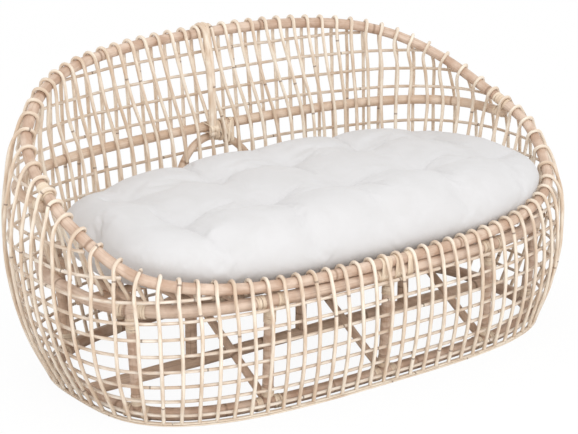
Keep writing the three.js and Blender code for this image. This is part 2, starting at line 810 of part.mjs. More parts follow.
function makeCushion() {
  const points = [cushionPoint(0, 0, true)];
  const ringStarts = [];
  const addRing = (share, top) => {
    ringStarts.push(points.length);
    for (let sector = 0; sector < cushionSectors; sector += 1) {
      points.push(cushionPoint((2 * Math.PI * sector) / cushionSectors, share, top));
    }
  };
  for (let ring = 1; ring < cushionTopRings; ring += 1) {
    addRing(Math.sin((Math.PI * ring) / cushionTopRings / 2), true);
  }
  addRing(1, true);
  for (let ring = cushionBottomRings - 1; ring > 0; ring -= 1) {
    addRing(Math.sin((Math.PI * ring) / cushionBottomRings / 2), false);
  }
  points.push(cushionPoint(0, 0, false));
  const faces = [];
  for (let sector = 0; sector < cushionSectors; sector += 1) {
    const next = (sector + 1) % cushionSectors;
    faces.push(0, ringStarts[0] + next, ringStarts[0] + sector);
    for (let ring = 1; ring < ringStarts.length; ring += 1) {
      const [inner, outer] = [ringStarts[ring - 1], ringStarts[ring]];
      faces.push(inner + sector, inner + next, outer + sector);
      faces.push(inner + next, outer + next, outer + sector);
    }
    faces.push(points.length - 1, ringStarts.at(-1) + sector, ringStarts.at(-1) + next);
  }
  const geometry = new THREE.BufferGeometry().setFromPoints(points);
  geometry.setIndex(faces);
  addPiece('cushion', geometry, 'fabric');
}

makeRings();
makeHoops();
makeStakePanels();
makePosts();
makeUnderframe();
makeDeck();
makeBack();
makeCushion();

// The origin is on the floor, under the middle of the whole basket
const bounds = new THREE.Box3().setFromObject(group);
const middle = bounds.getCenter(new THREE.Vector3());
group.position.set(-middle.x, -middle.y, 0);

export default group;
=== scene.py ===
# %% [markdown]
# # A rattan lounge sofa, from frame to finish
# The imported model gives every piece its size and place, as plain faceted solids.
# This lesson lays the looks over it: round peeled poles, bent canes, peel bindings at the
# joints, and a sewn cushion that is blown up like a real one.
# %% The frame
import functools
import json
import math

import bpy
import numpy as np
from mathutils import Matrix, Vector

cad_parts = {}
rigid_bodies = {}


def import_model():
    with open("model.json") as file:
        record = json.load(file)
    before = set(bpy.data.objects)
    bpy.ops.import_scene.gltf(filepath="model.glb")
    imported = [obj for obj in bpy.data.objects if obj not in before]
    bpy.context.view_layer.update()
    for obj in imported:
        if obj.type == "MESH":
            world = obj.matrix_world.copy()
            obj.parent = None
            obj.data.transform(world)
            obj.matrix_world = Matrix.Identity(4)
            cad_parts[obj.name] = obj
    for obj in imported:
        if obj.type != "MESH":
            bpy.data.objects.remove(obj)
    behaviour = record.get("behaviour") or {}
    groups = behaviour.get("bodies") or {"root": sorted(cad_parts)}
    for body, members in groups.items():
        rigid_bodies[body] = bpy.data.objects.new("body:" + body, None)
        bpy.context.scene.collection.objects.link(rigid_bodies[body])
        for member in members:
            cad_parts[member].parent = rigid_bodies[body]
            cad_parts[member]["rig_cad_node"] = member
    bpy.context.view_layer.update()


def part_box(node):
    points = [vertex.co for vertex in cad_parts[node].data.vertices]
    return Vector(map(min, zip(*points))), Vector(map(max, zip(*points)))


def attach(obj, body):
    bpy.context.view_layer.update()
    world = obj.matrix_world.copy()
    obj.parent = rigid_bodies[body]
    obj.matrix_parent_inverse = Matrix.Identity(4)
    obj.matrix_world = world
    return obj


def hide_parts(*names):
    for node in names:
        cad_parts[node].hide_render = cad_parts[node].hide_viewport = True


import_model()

# %% [markdown]
# ## The camera
# A product photograph is taken from far off with a long lens, so that upright canes stay
# nearly parallel. The camera is placed by its three own axes, which is the clearest way to
# say where it looks: along its right, up its frame, and back from the sofa. The middle
# post under the seat stands on the basket's own middle line, so its place says how far
# the model was moved to centre it on the floor.
# %% The camera
CAMERA_AZIMUTH = math.radians(-36.706)
CAMERA_ELEVATION = math.radians(17.748)
CAMERA_DISTANCE = 5.0053
CAMERA_ASIDE = -0.0296
CAMERA_RAISED = 0.3052
CAMERA_LENS = 125.82

low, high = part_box("mid_post_centre")
middle_y = (low.y + high.y) / 2

camera_right = Vector((math.cos(CAMERA_AZIMUTH), math.sin(CAMERA_AZIMUTH), 0))
camera_back = Vector((
    math.sin(CAMERA_AZIMUTH) * math.cos(CAMERA_ELEVATION),
    -math.cos(CAMERA_AZIMUTH) * math.cos(CAMERA_ELEVATION),
    math.sin(CAMERA_ELEVATION),
))
camera_up = camera_back.cross(camera_right)
bpy.ops.object.camera_add()
camera = bpy.context.object
camera.name = "photo_camera"
camera.data.lens = CAMERA_LENS
camera.data.sensor_width = 36
place = camera_back * CAMERA_DISTANCE + camera_right * CAMERA_ASIDE + camera_up * CAMERA_RAISED
turn = Matrix((camera_right, camera_up, camera_back)).transposed().to_4x4()
camera.matrix_world = Matrix.Translation(place + Vector((0, middle_y, 0))) @ turn
bpy.context.scene.camera = camera
print("camera at", [round(v, 3) for v in camera.matrix_world.translation])

# %% [markdown]
# ## Helpers for nodes
# Finishes, floor and sky are all small trees of nodes. Three helpers keep them readable:
# one starts a material, one adds a node with its settings and inputs, and one does sums.
# %% Helpers for nodes
def new_material(name):
    """An empty material, its node tree and its output node."""
    made = bpy.data.materials.new(name)
    made.use_nodes = True
    made.node_tree.nodes.clear()
    output = made.node_tree.nodes.new("ShaderNodeOutputMaterial")
    return made, made.node_tree, output


def add_node(tree, kind, inputs=None, **settings):
    """A node with its settings made, and each input linked to a socket or set to a value."""
    node = tree.nodes.new(kind)
    for name, value in settings.items():
        setattr(node, name, value)
    for name, value in (inputs or {}).items():
        if hasattr(value, "links"):
            tree.links.new(value, node.inputs[name])
        else:
            node.inputs[name].default_value = value
    return node


def calculate(tree, operation, first, second=None, clamp=False):
    """A maths node fed by sockets or numbers, and its output."""
    inputs = {0: first} if second is None else {0: first, 1: second}
    return add_node(tree, "ShaderNodeMath", inputs, operation=operation, use_clamp=clamp).outputs[0]


print("helpers for nodes: new_material, add_node and calculate")

# %% [markdown]
# ## Floor and light
# The sofa stands on a white floor that runs out of sight. The floor's own colour mixes
# with an even white that only the camera sees, so the ground reads as a white page and
# keeps a soft shadow. One big soft lamp from the front left does most of the work, and
# the white world fills the rest, at a level where a colour renders about as written.
# %% The floor
FLOOR_SIZE = 40
FLOOR_WHITENESS = 0.94

bpy.ops.mesh.primitive_plane_add(size=FLOOR_SIZE)
floor = bpy.context.object
floor.name = "studio_floor"
floor_paint, tree, output = new_material("floor_paint")
matt = add_node(tree, "ShaderNodeBsdfDiffuse", {"Color": (0.9, 0.9, 0.9, 1)})
page = add_node(tree, "ShaderNodeEmission")
rays = add_node(tree, "ShaderNodeLightPath")
share = calculate(tree, "MULTIPLY", rays.outputs["Is Camera Ray"], FLOOR_WHITENESS)
mix = add_node(tree, "ShaderNodeMixShader", {"Fac": share, 1: matt.outputs[0], 2: page.outputs[0]})
tree.links.new(mix.outputs[0], output.inputs["Surface"])
floor.data.materials.append(floor_paint)
print("floor", FLOOR_SIZE, "m wide")

# %% The world and the lamp
WORLD_LEVEL = 1.05
KEY_LEVEL = 93
KEY_PLACE = (-1.5, -4.1, 3.3)
KEY_AIM = (0, 0, 0.3)
WHITE = (1, 1, 1, 1)

world = bpy.data.worlds.new("white_studio")
bpy.context.scene.world = world
world.use_nodes = True
sky = world.node_tree
sky.nodes.clear()
fill = add_node(sky, "ShaderNodeBackground", {"Color": WHITE, "Strength": WORLD_LEVEL}).outputs[0]
backdrop = add_node(sky, "ShaderNodeBackground", {"Color": WHITE, "Strength": 1}).outputs[0]
seen = add_node(sky, "ShaderNodeLightPath").outputs["Is Camera Ray"]
mix = add_node(sky, "ShaderNodeMixShader", {"Fac": seen, 1: fill, 2: backdrop})
add_node(sky, "ShaderNodeOutputWorld", {"Surface": mix.outputs[0]})

bpy.ops.object.light_add(type="AREA", location=KEY_PLACE)
key = bpy.context.object
key.name = "key_lamp"
key.data.shape = "RECTANGLE"
key.data.size = 3
key.data.size_y = 2.4
key.data.energy = KEY_LEVEL
key.rotation_euler = (Vector(KEY_AIM) - key.location).to_track_quat("-Z", "Y").to_euler()
bpy.context.scene.view_settings.view_transform = "Standard"
print("lamp", round((Vector(KEY_AIM) - key.location).length, 2), "m from the sofa")

# %% [markdown]
# ## The basket's form
# Every cane follows one bulging surface. A level slice of it is a rounded oval; going up,
# the ovals swell to a belly, shrink again and slide back. The canes stand evenly on the
# floor and climb straight, from each level to the nearest point of the next, so a place
# round the basket is counted in canes from the middle of the front. These few functions
# find a point on that surface, the way out there, and a point a little behind it, and
# every later piece asks them where it goes.
# %% Sizes of the basket
CANES = 84
PLACE_STEPS = 8
BACK = CANES / 2
BANDS = 6
RIM_BACK_HEIGHT = 0.702
SEAT_HEIGHT = 0.270
BASE_HEIGHT = 0.020
RAIL_HEIGHT = 0.466
GAP = 0.0003
CANE_RADIUS = 0.0045
HOOP_RADIUS = 0.004
RIM_RADIUS = 0.013
RING_RADIUS = 0.015
RAIL_RADIUS = 0.0125

# How far the centre lines lie behind the surface
RIM_INSET = 2 * CANE_RADIUS + GAP + RIM_RADIUS
HOOP_INSET = 2 * CANE_RADIUS + GAP + HOOP_RADIUS
BEHIND_HOOPS = HOOP_INSET + HOOP_RADIUS + GAP
RING_INSET = BEHIND_HOOPS + RING_RADIUS
RAIL_INSET = BEHIND_HOOPS + RAIL_RADIUS

# How far from its centre line a faceted pole and its gap reach
RIM_REACH = 0.01437
RING_REACH = 0.01654
RAIL_REACH = 0.01473
RIM_FRONT_HEIGHT = SEAT_HEIGHT + RING_RADIUS + RIM_REACH

# Half the width and depth: the height where each is greatest, its size there, at the
# floor and at the crest
HALF_WIDTHS = (0.345, 0.743, 0.641, 0.585)
HALF_DEPTHS = (0.247, 0.385, 0.350, 0.249)
BACK_LEAN, LEAN_POWER = 0.193, 2.78
FLOOR_CORNER, CORNER_LOSS = 3.15, 0.7
OUTLINE_POINTS = 1441
print("the rim is", round(RIM_FRONT_HEIGHT, 3), "m high in front and", RIM_BACK_HEIGHT, "m behind")


# %% Level outlines
def unit(vector):
    """The vector at length one."""
    return vector / np.linalg.norm(vector)


def signed_power(value, power):
    """A power that keeps the sign."""
    return np.sign(value) * np.abs(value) ** power


def bulge(height, peak_height, peak, floor_size, crest_size):
    """A size that swells to a peak and shrinks again above it."""
    below = height < peak_height
    end = floor_size if below else crest_size
    span = peak_height if below else RIM_BACK_HEIGHT - peak_height
    return peak - (peak - end) * ((height - peak_height) / span) ** 2


def rounded_outline(half_width, half_depth, centre_y, corner, height):
    """The points of a rounded oval, all round from the middle of its front."""
    turns = np.linspace(0, 2 * math.pi, OUTLINE_POINTS)
    x = half_width * signed_power(np.sin(turns), 2 / corner)
    y = middle_y + centre_y - half_depth * signed_power(np.cos(turns), 2 / corner)
    return np.stack([x, y, np.full_like(x, height)], axis=1)


def skin_outline(height):
    """The basket's outline at a height."""
    climb = height / RIM_BACK_HEIGHT
    half_width, half_depth = bulge(height, *HALF_WIDTHS), bulge(height, *HALF_DEPTHS)
    corner = FLOOR_CORNER - CORNER_LOSS * climb
    return rounded_outline(half_width, half_depth, BACK_LEAN * climb**LEAN_POWER, corner, height)


print("outline on the floor:", len(skin_outline(0)), "points")


# %% Places round the basket
def lengths_along(line):
    """How far along a line each of its points lies."""
    return np.concatenate([[0], np.cumsum(np.linalg.norm(np.diff(line, axis=0), axis=1))])


def points_at(line, stops):
    """The points of a line at some lengths along it."""
    lengths = lengths_along(line)
    return np.stack([np.interp(stops, lengths, line[:, axis]) for axis in range(3)], axis=1)


def nearest_points(outline, points):
    """For each point, the point of an outline that is nearest in plan."""
    starts, sides = outline[:-1, :2], np.diff(outline[:, :2], axis=0)
    found = []
    for point in points:
        share = ((point[:2] - starts) * sides).sum(1) / np.maximum((sides**2).sum(1), 1e-15)
        on_side = starts + sides * np.clip(share, 0, 1)[:, None]
        x, y = on_side[((on_side - point[:2]) ** 2).sum(1).argmin()]
        found.append((x, y, outline[0, 2]))
    return np.array(found)


foot_outline = skin_outline(0)
even_stops = np.linspace(0, lengths_along(foot_outline)[-1], CANES * PLACE_STEPS, endpoint=False)
levels = [points_at(foot_outline, even_stops)]
for band in range(1, BANDS + 1):
    levels.append(nearest_points(skin_outline(RIM_BACK_HEIGHT * band / BANDS), levels[-1]))
print("levels of the surface:", len(levels), "with", len(levels[0]), "places each")

# %% Points on and behind the surface
PLACE_PROBE = 1 / PLACE_STEPS
HEIGHT_PROBE = 0.001
INSET_ROUNDS = 5


def at_place(points, place):
    """The point at a place on a closed run of points."""
    step = place * PLACE_STEPS
    low = math.floor(step)
    before, after = points[low % len(points)], points[(low + 1) % len(points)]
    return before + (after - before) * (step - low)


@functools.lru_cache(maxsize=None)
def skin_point(place, height):
    """The point of the basket's surface at a place and a height."""
    level = BANDS * height / RIM_BACK_HEIGHT
    band = min(max(math.floor(level), 0), BANDS - 1)
    below, above = at_place(levels[band], place), at_place(levels[band + 1], place)
    return below + (above - below) * (level - band)


def skin_normal(place, height):
    """The way out of the basket."""
    across = skin_point(place + PLACE_PROBE, height) - skin_point(place - PLACE_PROBE, height)
    rise = skin_point(place, height + HEIGHT_PROBE) - skin_point(place, height - HEIGHT_PROBE)
    return unit(np.cross(across, rise))


@functools.lru_cache(maxsize=None)
def behind_skin(place, height, inset):
    """A point at a true height, set in from the surface, the way out, and the surface's height."""
    skin_height = height
    for _ in range(INSET_ROUNDS):
        skin_height = height + inset * skin_normal(place, skin_height)[2]
    outward = skin_normal(place, skin_height)
    return skin_point(place, skin_height) - outward * inset, outward, skin_height


def tangent(point_at, place):
    """The way along a ring at a place."""
    return unit(point_at(place + PLACE_PROBE) - point_at(place - PLACE_PROBE))


print("belly's widest point:", skin_point(CANES / 4, HALF_WIDTHS[0]).round(3))

# %% The seat ring and the rim
SEAT_HALF_WIDTH, SEAT_HALF_DEPTH, SEAT_Y, SEAT_CORNER = 0.650, 0.344, 0.008, 3
RIM_SWEEP = 0.0065
RIM_ROUNDS = 24
seat_outline = rounded_outline(SEAT_HALF_WIDTH, SEAT_HALF_DEPTH, SEAT_Y, SEAT_CORNER, SEAT_HEIGHT)
skin_at_seat = [skin_point(step / PLACE_STEPS, SEAT_HEIGHT) for step in range(CANES * PLACE_STEPS)]
seat_points = nearest_points(seat_outline, skin_at_seat)
rim_front_y = skin_point(0, RIM_FRONT_HEIGHT)[1]
rim_back_y = skin_point(BACK, RIM_BACK_HEIGHT)[1]


def seat_point(place):
    """The seat ring's centre line."""
    return at_place(seat_points, place)


def seat_outward(place):
    """The level way out of the seat ring."""
    along = seat_point(place + PLACE_PROBE) - seat_point(place - PLACE_PROBE)
    return unit(np.array([along[1], -along[0], 0]))


@functools.lru_cache(maxsize=None)
def rim_height(place):
    """The rim climbs nearly in one plane from the low front to the high back."""
    height = RIM_FRONT_HEIGHT
    for _ in range(RIM_ROUNDS):
        climb = (skin_point(place, height)[1] - rim_front_y) / (rim_back_y - rim_front_y)
        sweep = RIM_SWEEP * math.sin(4 * math.pi * climb)
        height = RIM_FRONT_HEIGHT + (RIM_BACK_HEIGHT - RIM_FRONT_HEIGHT) * climb - sweep
    return height


def rim_point(place):
    """The rim's centre line."""
    return behind_skin(place, rim_height(place), RIM_INSET)[0]


print("rim from", round(rim_height(0), 3), "to", round(rim_height(BACK), 3), "m high")

# %% [markdown]
# ## Bending a cane
# A cane is soaked, bent and dries in that shape, so its path has no corners. Each path
# is drawn through a few points as a smooth line, then cut into even steps. The steps
# matter twice: they keep the pole round in its bends, and they let the finish know how
# far along a cane it is. A bevelled curve is the natural tool for this; it is made a
# mesh at once, its ends are closed, and its map runs in metres along the cane, with ten
# metres between one cane and the next, so that no two show the same grain.
# %% A smooth line
FINE_STEPS = 3


def smooth_line(points, step, closed=False):
    """A smooth line through the points, in even steps."""
    points = np.array(points)
    if closed:
        points = np.concatenate([points[-2:], points, points[:3]])
    gaps = np.linalg.norm(np.diff(points, axis=0), axis=1)
    slopes = np.diff(points, axis=0) / gaps[:, None]
    tangents = np.empty_like(points)
    tangents[0], tangents[-1] = slopes[0], slopes[-1]
    before, after = gaps[:-1, None], gaps[1:, None]
    tangents[1:-1] = (slopes[:-1] * after + slopes[1:] * before) / (before + after)
    line = []
    first, last = (2, len(points) - 3) if closed else (0, len(points) - 1)
    for index in range(first, last):
        share = np.linspace(0, 1, max(3, math.ceil(gaps[index] / step * FINE_STEPS)))[:-1, None]
        line.append(
            (1 + 2 * share) * (1 - share) ** 2 * points[index]
            + share * (1 - share) ** 2 * gaps[index] * tangents[index]
            + share**2 * (3 - 2 * share) * points[index + 1]
            + share**2 * (share - 1) * gaps[index] * tangents[index + 1]
        )
    line = np.concatenate([*line, points[last:last + 1]])
    length = lengths_along(line)[-1]
    stops = np.linspace(0, length, max(2, round(length / step)) + 1)
    return points_at(line, stops[:-1] if closed else stops)


corner_test = smooth_line([(0, 0, 0), (1, 0, 0), (1, 1, 0)], 0.1)
print("a bent line through three points gets", len(corner_test), "points")

# %% The map along a cane
MAP_METRES = 10
cane_count = 0


def stretch_map(mesh, runs, closed):
    """Makes the map of each cane run in metres, apart from the maps of all others."""
    global cane_count
    coordinates = np.empty(len(mesh.loops) * 2)
    mesh.uv_layers[0].data.foreach_get("uv", coordinates)
    coordinates = coordinates.reshape(-1, 2)
    steps = [len(run) - (not closed) for run in runs]
    sides = round(len(mesh.polygons) / sum(steps))
    loop = len(mesh.loops) - 4 * sides * sum(steps)
    for run, count in zip(runs, steps):
        end = loop + 4 * sides * count
        coordinates[loop:end, 0] *= np.linalg.norm(np.diff(run, axis=0), axis=1).sum()
        coordinates[loop:end, 0] += MAP_METRES * cane_count
        cane_count += 1
        loop = end
    mesh.uv_layers[0].data.foreach_set("uv", coordinates.ravel())


print("the map of each cane starts", MAP_METRES, "m after the one before")

# %% A bent cane
SEED = 11
THICK_WAVES = 5
rng = np.random.default_rng(SEED)


def bend_canes(name, runs, radius, closed=False, roundness=2, uneven=0.03, section=None):
    """Bends one length of cane along each run of points, and returns them as one mesh."""
    bpy.ops.object.select_all(action="DESELECT")
    bpy.ops.curve.primitive_nurbs_path_add()
    curve = bpy.context.object.data
    curve.splines.clear()
    for run in runs:
        spline = curve.splines.new("POLY")
        spline.points.add(len(run) - 1)
        places = np.ones((len(run), 4))
        places[:, :3] = run
        spline.points.foreach_set("co", places.ravel())
        waves = np.arange(len(run)) * 2 * math.pi * THICK_WAVES / len(run)
        swell = np.sin(waves + rng.uniform(0, 6)) + np.sin(2 * waves + rng.uniform(0, 6))
        spline.points.foreach_set("radius", 1 + uneven * swell / 2)
        spline.use_cyclic_u = closed
    curve.use_fill_caps = not closed
    if section is None:
        curve.bevel_depth = radius
        curve.bevel_resolution = roundness
    else:
        curve.bevel_mode = "OBJECT"
        curve.bevel_object = section
    bpy.ops.object.convert(target="MESH")
    cane = bpy.context.object
    cane.name = name
    stretch_map(cane.data, runs, closed)
    bpy.ops.object.mode_set(mode="EDIT")
    bpy.ops.mesh.select_all(action="SELECT")
    bpy.ops.mesh.remove_doubles(threshold=0.00001)
    bpy.ops.object.mode_set(mode="OBJECT")
    bpy.ops.object.shade_smooth()
    return cane


def dress(piece, finish, *nodes, body="basket"):
    """Gives a piece its finish and its body, and hides the solids that it stands for."""
    piece.data.materials.clear()
    piece.data.materials.append(finish)
    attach(piece, body)
    if nodes:
        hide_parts(*nodes)


print("canes are bent from seed", SEED)

# %% [markdown]
# ## What rattan looks like
# Peeled rattan is a vine with its bark scraped off. Fine fibres run along it, its colour
# wanders from cream to a pinkish tan, no two lengths match, and every hand's breadth or
# two a leaf once grew, which leaves a thin dark ring and a slight ridge. All canes and
# poles share this, so it is one node group that reads the map along the cane and puts out
# the fibre, the blotches, the rings and a shade for each length.
# %% A group of nodes
def new_group(name, inputs, outputs):
    """A node group with its sockets, its inlet, its outlet and a short way to do sums in it."""
    group = bpy.data.node_groups.new(name, "ShaderNodeTree")
    for socket_name, value in inputs.items():
        socket = group.interface.new_socket(socket_name, in_out="INPUT", socket_type="NodeSocketFloat")
        socket.default_value = value
    for socket_name in outputs:
        group.interface.new_socket(socket_name, in_out="OUTPUT", socket_type="NodeSocketFloat")
    inlet, outlet = group.nodes.new("NodeGroupInput"), group.nodes.new("NodeGroupOutput")
    return group, inlet.outputs, outlet.inputs, functools.partial(calculate, group)


print("helper for groups: new_group")

# %% The pattern along a length of rattan
FIBRE_STRETCH, FIBRE_GIRTH = 0.12, 0.16
BLOTCH_STRETCH, BLOTCH_GIRTH = 24, 0.5
RING_FROM, RING_SPREAD = 0.2, 0.6


def make_rattan_group():
    """The pattern along a length of rattan."""
    inputs = {"Ring Spacing": 0.3, "Ring Width": 0.004, "Fibre Scale": 30.0}
    group, given, result, sums = new_group("rattan_length", inputs, ("Shade", "Fibre", "Blotch", "Ring"))
    link = group.links.new
    spot = add_node(group, "ShaderNodeUVMap")
    parts = add_node(group, "ShaderNodeSeparateXYZ", {0: spot.outputs[0]})
    along = parts.outputs[0]
    turn = sums("MULTIPLY", parts.outputs[1], 2 * math.pi)

    def wrapped(stretch, girth):
        """The place on the pole as a point in space, stretched along it."""
        point = {0: sums("MULTIPLY", along, stretch)}
        for axis, wave in ((1, "COSINE"), (2, "SINE")):
            point[axis] = sums("MULTIPLY", sums(wave, turn), girth)
        return add_node(group, "ShaderNodeCombineXYZ", point).outputs[0]

    length_number = sums("FLOOR", sums("DIVIDE", sums("ADD", along, 0.001), MAP_METRES))
    shade = add_node(group, "ShaderNodeTexWhiteNoise", noise_dimensions="1D")
    link(length_number, shade.inputs["W"])
    link(shade.outputs["Value"], result["Shade"])
    fibre = {"Scale": given["Fibre Scale"], "Detail": 4, "Roughness": 0.65}
    fibre["Vector"] = wrapped(FIBRE_STRETCH, FIBRE_GIRTH)
    link(add_node(group, "ShaderNodeTexNoise", fibre).outputs["Fac"], result["Fibre"])
    blotch = {"Scale": 1, "Detail": 3, "Vector": wrapped(BLOTCH_STRETCH, BLOTCH_GIRTH)}
    link(add_node(group, "ShaderNodeTexNoise", blotch).outputs["Fac"], result["Blotch"])

    cells = sums("ADD", sums("DIVIDE", along, given["Ring Spacing"]), shade.outputs["Value"])
    cell = sums("FLOOR", cells)
    jitter = add_node(group, "ShaderNodeTexWhiteNoise", noise_dimensions="1D")
    link(sums("ADD", cell, sums("MULTIPLY", length_number, 13)), jitter.inputs["W"])
    mark = sums("ADD", sums("MULTIPLY", jitter.outputs["Value"], RING_SPREAD), RING_FROM)
    away = sums("ABSOLUTE", sums("SUBTRACT", sums("SUBTRACT", cells, cell), mark))
    near = sums("DIVIDE", sums("MULTIPLY", away, given["Ring Spacing"]), given["Ring Width"])
    link(sums("SUBTRACT", 1, near, clamp=True), result["Ring"])
    return group


rattan_group = make_rattan_group()
print("rattan pattern:", len(rattan_group.nodes), "nodes")


# %% A rattan finish
def mix_colours(tree, factor, first, second):
    """A mix of two colours, each a socket or a plain colour."""
    node = add_node(tree, "ShaderNodeMix", {"Factor": factor}, data_type="RGBA")
    for name, value in (("A", first), ("B", second)):
        socket = [s for s in node.inputs if s.name == name and s.type == "RGBA"][0]
        if hasattr(value, "links"):
            tree.links.new(value, socket)
        else:
            socket.default_value = (*value, 1)
    return [s for s in node.outputs if s.type == "RGBA"][0]


def to_range(tree, value, low, high, start=0.0, end=1.0):
    """Stretches a value from low to high over start to end."""
    inputs = {"Value": value, "From Min": low, "From Max": high, "To Min": start, "To Max": end}
    return add_node(tree, "ShaderNodeMapRange", inputs).outputs[0]


def rattan(name, pale, warm, deep, ring, spacing, width, fibre_scale, roughness, depth):
    """A finish for canes or poles: two colours that wander, deeper fibres and rings."""
    made, tree, output = new_material(name)
    inputs = {"Ring Spacing": spacing, "Ring Width": width, "Fibre Scale": fibre_scale}
    pattern = add_node(tree, "ShaderNodeGroup", inputs, node_tree=rattan_group).outputs
    shade = to_range(tree, pattern["Shade"], 0, 1, -0.3, 0.3)
    wander = calculate(tree, "ADD", to_range(tree, pattern["Blotch"], 0.35, 0.65), shade, clamp=True)
    colour = mix_colours(tree, wander, pale, warm)
    colour = mix_colours(tree, to_range(tree, pattern["Fibre"], 0.5, 0.78, 0, 0.75), colour, deep)
    colour = mix_colours(tree, to_range(tree, pattern["Ring"], 0, 0.8, 0, 0.8), colour, ring)
    gloss = to_range(tree, pattern["Fibre"], 0.3, 0.7, roughness - 0.08, roughness + 0.12)
    relief = calculate(tree, "ADD", pattern["Fibre"], calculate(tree, "MULTIPLY", pattern["Ring"], 0.8))
    bump = add_node(tree, "ShaderNodeBump", {"Strength": 0.7, "Distance": depth, "Height": relief})
    inputs = {"Base Color": colour, "Roughness": gloss, "Normal": bump.outputs[0]}
    skin = add_node(tree, "ShaderNodeBsdfPrincipled", inputs)
    tree.links.new(skin.outputs[0], output.inputs["Surface"])
    return made


print("helpers for finishes: mix_colours, to_range and rattan")

# %% The six finishes of rattan
# Each gives its pale, warm, fibre and ring colours, and then the spacing and width of its
# rings, the scale of its fibres, its roughness and the depth of its relief
cane_finish = rattan(
    "pale_cane", (0.86, 0.77, 0.65), (0.65, 0.50, 0.37), (0.46, 0.32, 0.21), (0.16, 0.10, 0.07),
    0.62, 0.003, 40, 0.4, 0.0004,
)
hoop_finish = rattan(
    "hoop_cane", (0.86, 0.78, 0.68), (0.63, 0.49, 0.37), (0.42, 0.30, 0.20), (0.14, 0.09, 0.06),
    0.55, 0.003, 40, 0.42, 0.0004,
)
pole_finish = rattan(
    "peeled_pole", (0.70, 0.55, 0.44), (0.50, 0.34, 0.245), (0.36, 0.23, 0.155), (0.28, 0.17, 0.11),
    0.27, 0.005, 30, 0.5, 0.0008,
)
# The rail and the arch get a paler copy of the peeled pole: painted light for the back, where the lamp
# reaches less.
rail_painted_light_finish = rattan(
    "rail_pole", (0.76, 0.62, 0.50), (0.60, 0.44, 0.32), (0.46, 0.31, 0.20), (0.34, 0.21, 0.13),
    0.3, 0.005, 30, 0.5, 0.0008,
)
# The poles under the seat and the posts behind the front get a browner copy of the peeled pole, with
# darker fibres and rings: painted shade.
frame_painted_shade_finish = rattan(
    "frame_pole", (0.72, 0.54, 0.41), (0.55, 0.38, 0.27), (0.31, 0.20, 0.135), (0.23, 0.14, 0.09),
    0.3, 0.006, 30, 0.6, 0.0008,
)
peel_finish = rattan(
    "binding_peel", (0.83, 0.71, 0.56), (0.70, 0.55, 0.41), (0.48, 0.33, 0.22), (0.38, 0.25, 0.16),
    0.5, 0.003, 60, 0.42, 0.0003,
)
print("finishes of rattan:", cane_finish.name, "to", peel_finish.name)

# %% [markdown]
# ## The rim and the rings
# Four stout poles carry the basket: the rim that the canes bend over, the ring under the
# seat, the ring near the floor, and the rail across the back. Each is one smooth line of
# places round the basket. The rail stops where it would meet the rim.
# %% Level lines, and where they meet the rim
POLE_STEP = 0.009
END_STEP = 0.25
END_ROOM = 0.4
RAIL_PRESS = 0.004
half_places = np.arange(CANES) + 0.5
rim_line = np.array([rim_point(place) for place in half_places])


def rim_distance(point):
    """How far a point is from the rim's centre line."""
    sides = np.roll(rim_line, -1, axis=0) - rim_line
    share = np.clip(((point - rim_line) * sides).sum(1) / (sides**2).sum(1), 0, 1)
    return np.linalg.norm(rim_line + sides * share[:, None] - point, axis=1).min()


def open_end(height, inset, reach):
    """How many places round from the back a level cane runs before it meets the rim."""
    end = 0
    while end < BACK and rim_distance(behind_skin(BACK + end, height, inset)[0]) > reach:
        end += END_STEP
    return end - END_STEP


def level_line(height, inset, step, end=None):
    """A level line set in from the surface: all round, or a way round from the back."""
    places = half_places
    if end is not None:
        near = [place for place in half_places if abs(place - BACK) < end - END_ROOM]
        places = (BACK - end, *near, BACK + end)
    points = [behind_skin(place, height, inset)[0] for place in places]
    return smooth_line(points, step, closed=end is None)


rail_end = open_end(RAIL_HEIGHT, RAIL_INSET, RIM_REACH + RAIL_REACH - RAIL_PRESS)
print("the rail runs", 2 * rail_end, "cane spacings")

# %% The four poles
POLE_ROUNDNESS = 6
seat_line = smooth_line([seat_point(place) for place in half_places], POLE_STEP, True)
rim_path = smooth_line(rim_line, POLE_STEP, True)
rim = bend_canes("rim_pole", [rim_path], RIM_RADIUS, True, POLE_ROUNDNESS, uneven=0.04)
dress(rim, pole_finish, "top_rim")
seat_ring = bend_canes("seat_ring_pole", [seat_line], RING_RADIUS, True, POLE_ROUNDNESS)
dress(seat_ring, pole_finish, "seat_ring")
base_line = level_line(BASE_HEIGHT, RING_INSET, POLE_STEP)
base_ring = bend_canes("base_ring_pole", [base_line], RING_RADIUS, True, POLE_ROUNDNESS)
dress(base_ring, pole_finish, "base_ring")
rail_line = level_line(RAIL_HEIGHT, RAIL_INSET, POLE_STEP, rail_end)
rail = bend_canes("back_rail_pole", [rail_line], RAIL_RADIUS, False, POLE_ROUNDNESS)
# The rail takes the paler finish, with its painted light.
dress(rail, rail_painted_light_finish, "back_rail")
print("faces of the rim:", len(rim.data.polygons), "and of the rail:", len(rail.data.polygons))

# %% [markdown]
# ## Hoops and the foot
# Thin level hoops tie the upright canes from inside. Those under the seat go all the way
# round; those above it end under the rim. The sofa stands on one flat band, bent flat
# way round the foot, with a thinner band on it that the canes' feet are stapled to. A
# flat band is the same bent line with an oval section in place of the round one.
# %% The hoops
HOOP_STEP = 0.016
HOOP_SWAY = 0.0009
LOWEST_HOOP = 0.024
HOOP_PITCH = 0.039
LOWER_HOOPS = 7
HOOP_SPARE = 0.004
UPPER_HOOPS = {
    "seat": 0.304, "lap": 0.356, "waist": 0.404, "back": 0.500,
    "shoulder": 0.550, "head": 0.601, "crest": 0.653,
}


def bend_hoop(name, line, closed, node):
    """A hoop that moves up and down a little, as hands leave it."""
    waves = np.linspace(0, 2 * math.pi, len(line), endpoint=False)
    lift = np.sin(3 * waves + rng.uniform(0, 6)) + 0.6 * np.sin(7 * waves + rng.uniform(0, 6))
    line[:, 2] += HOOP_SWAY * lift
    dress(bend_canes(name, [line], HOOP_RADIUS, closed), hoop_finish, node)


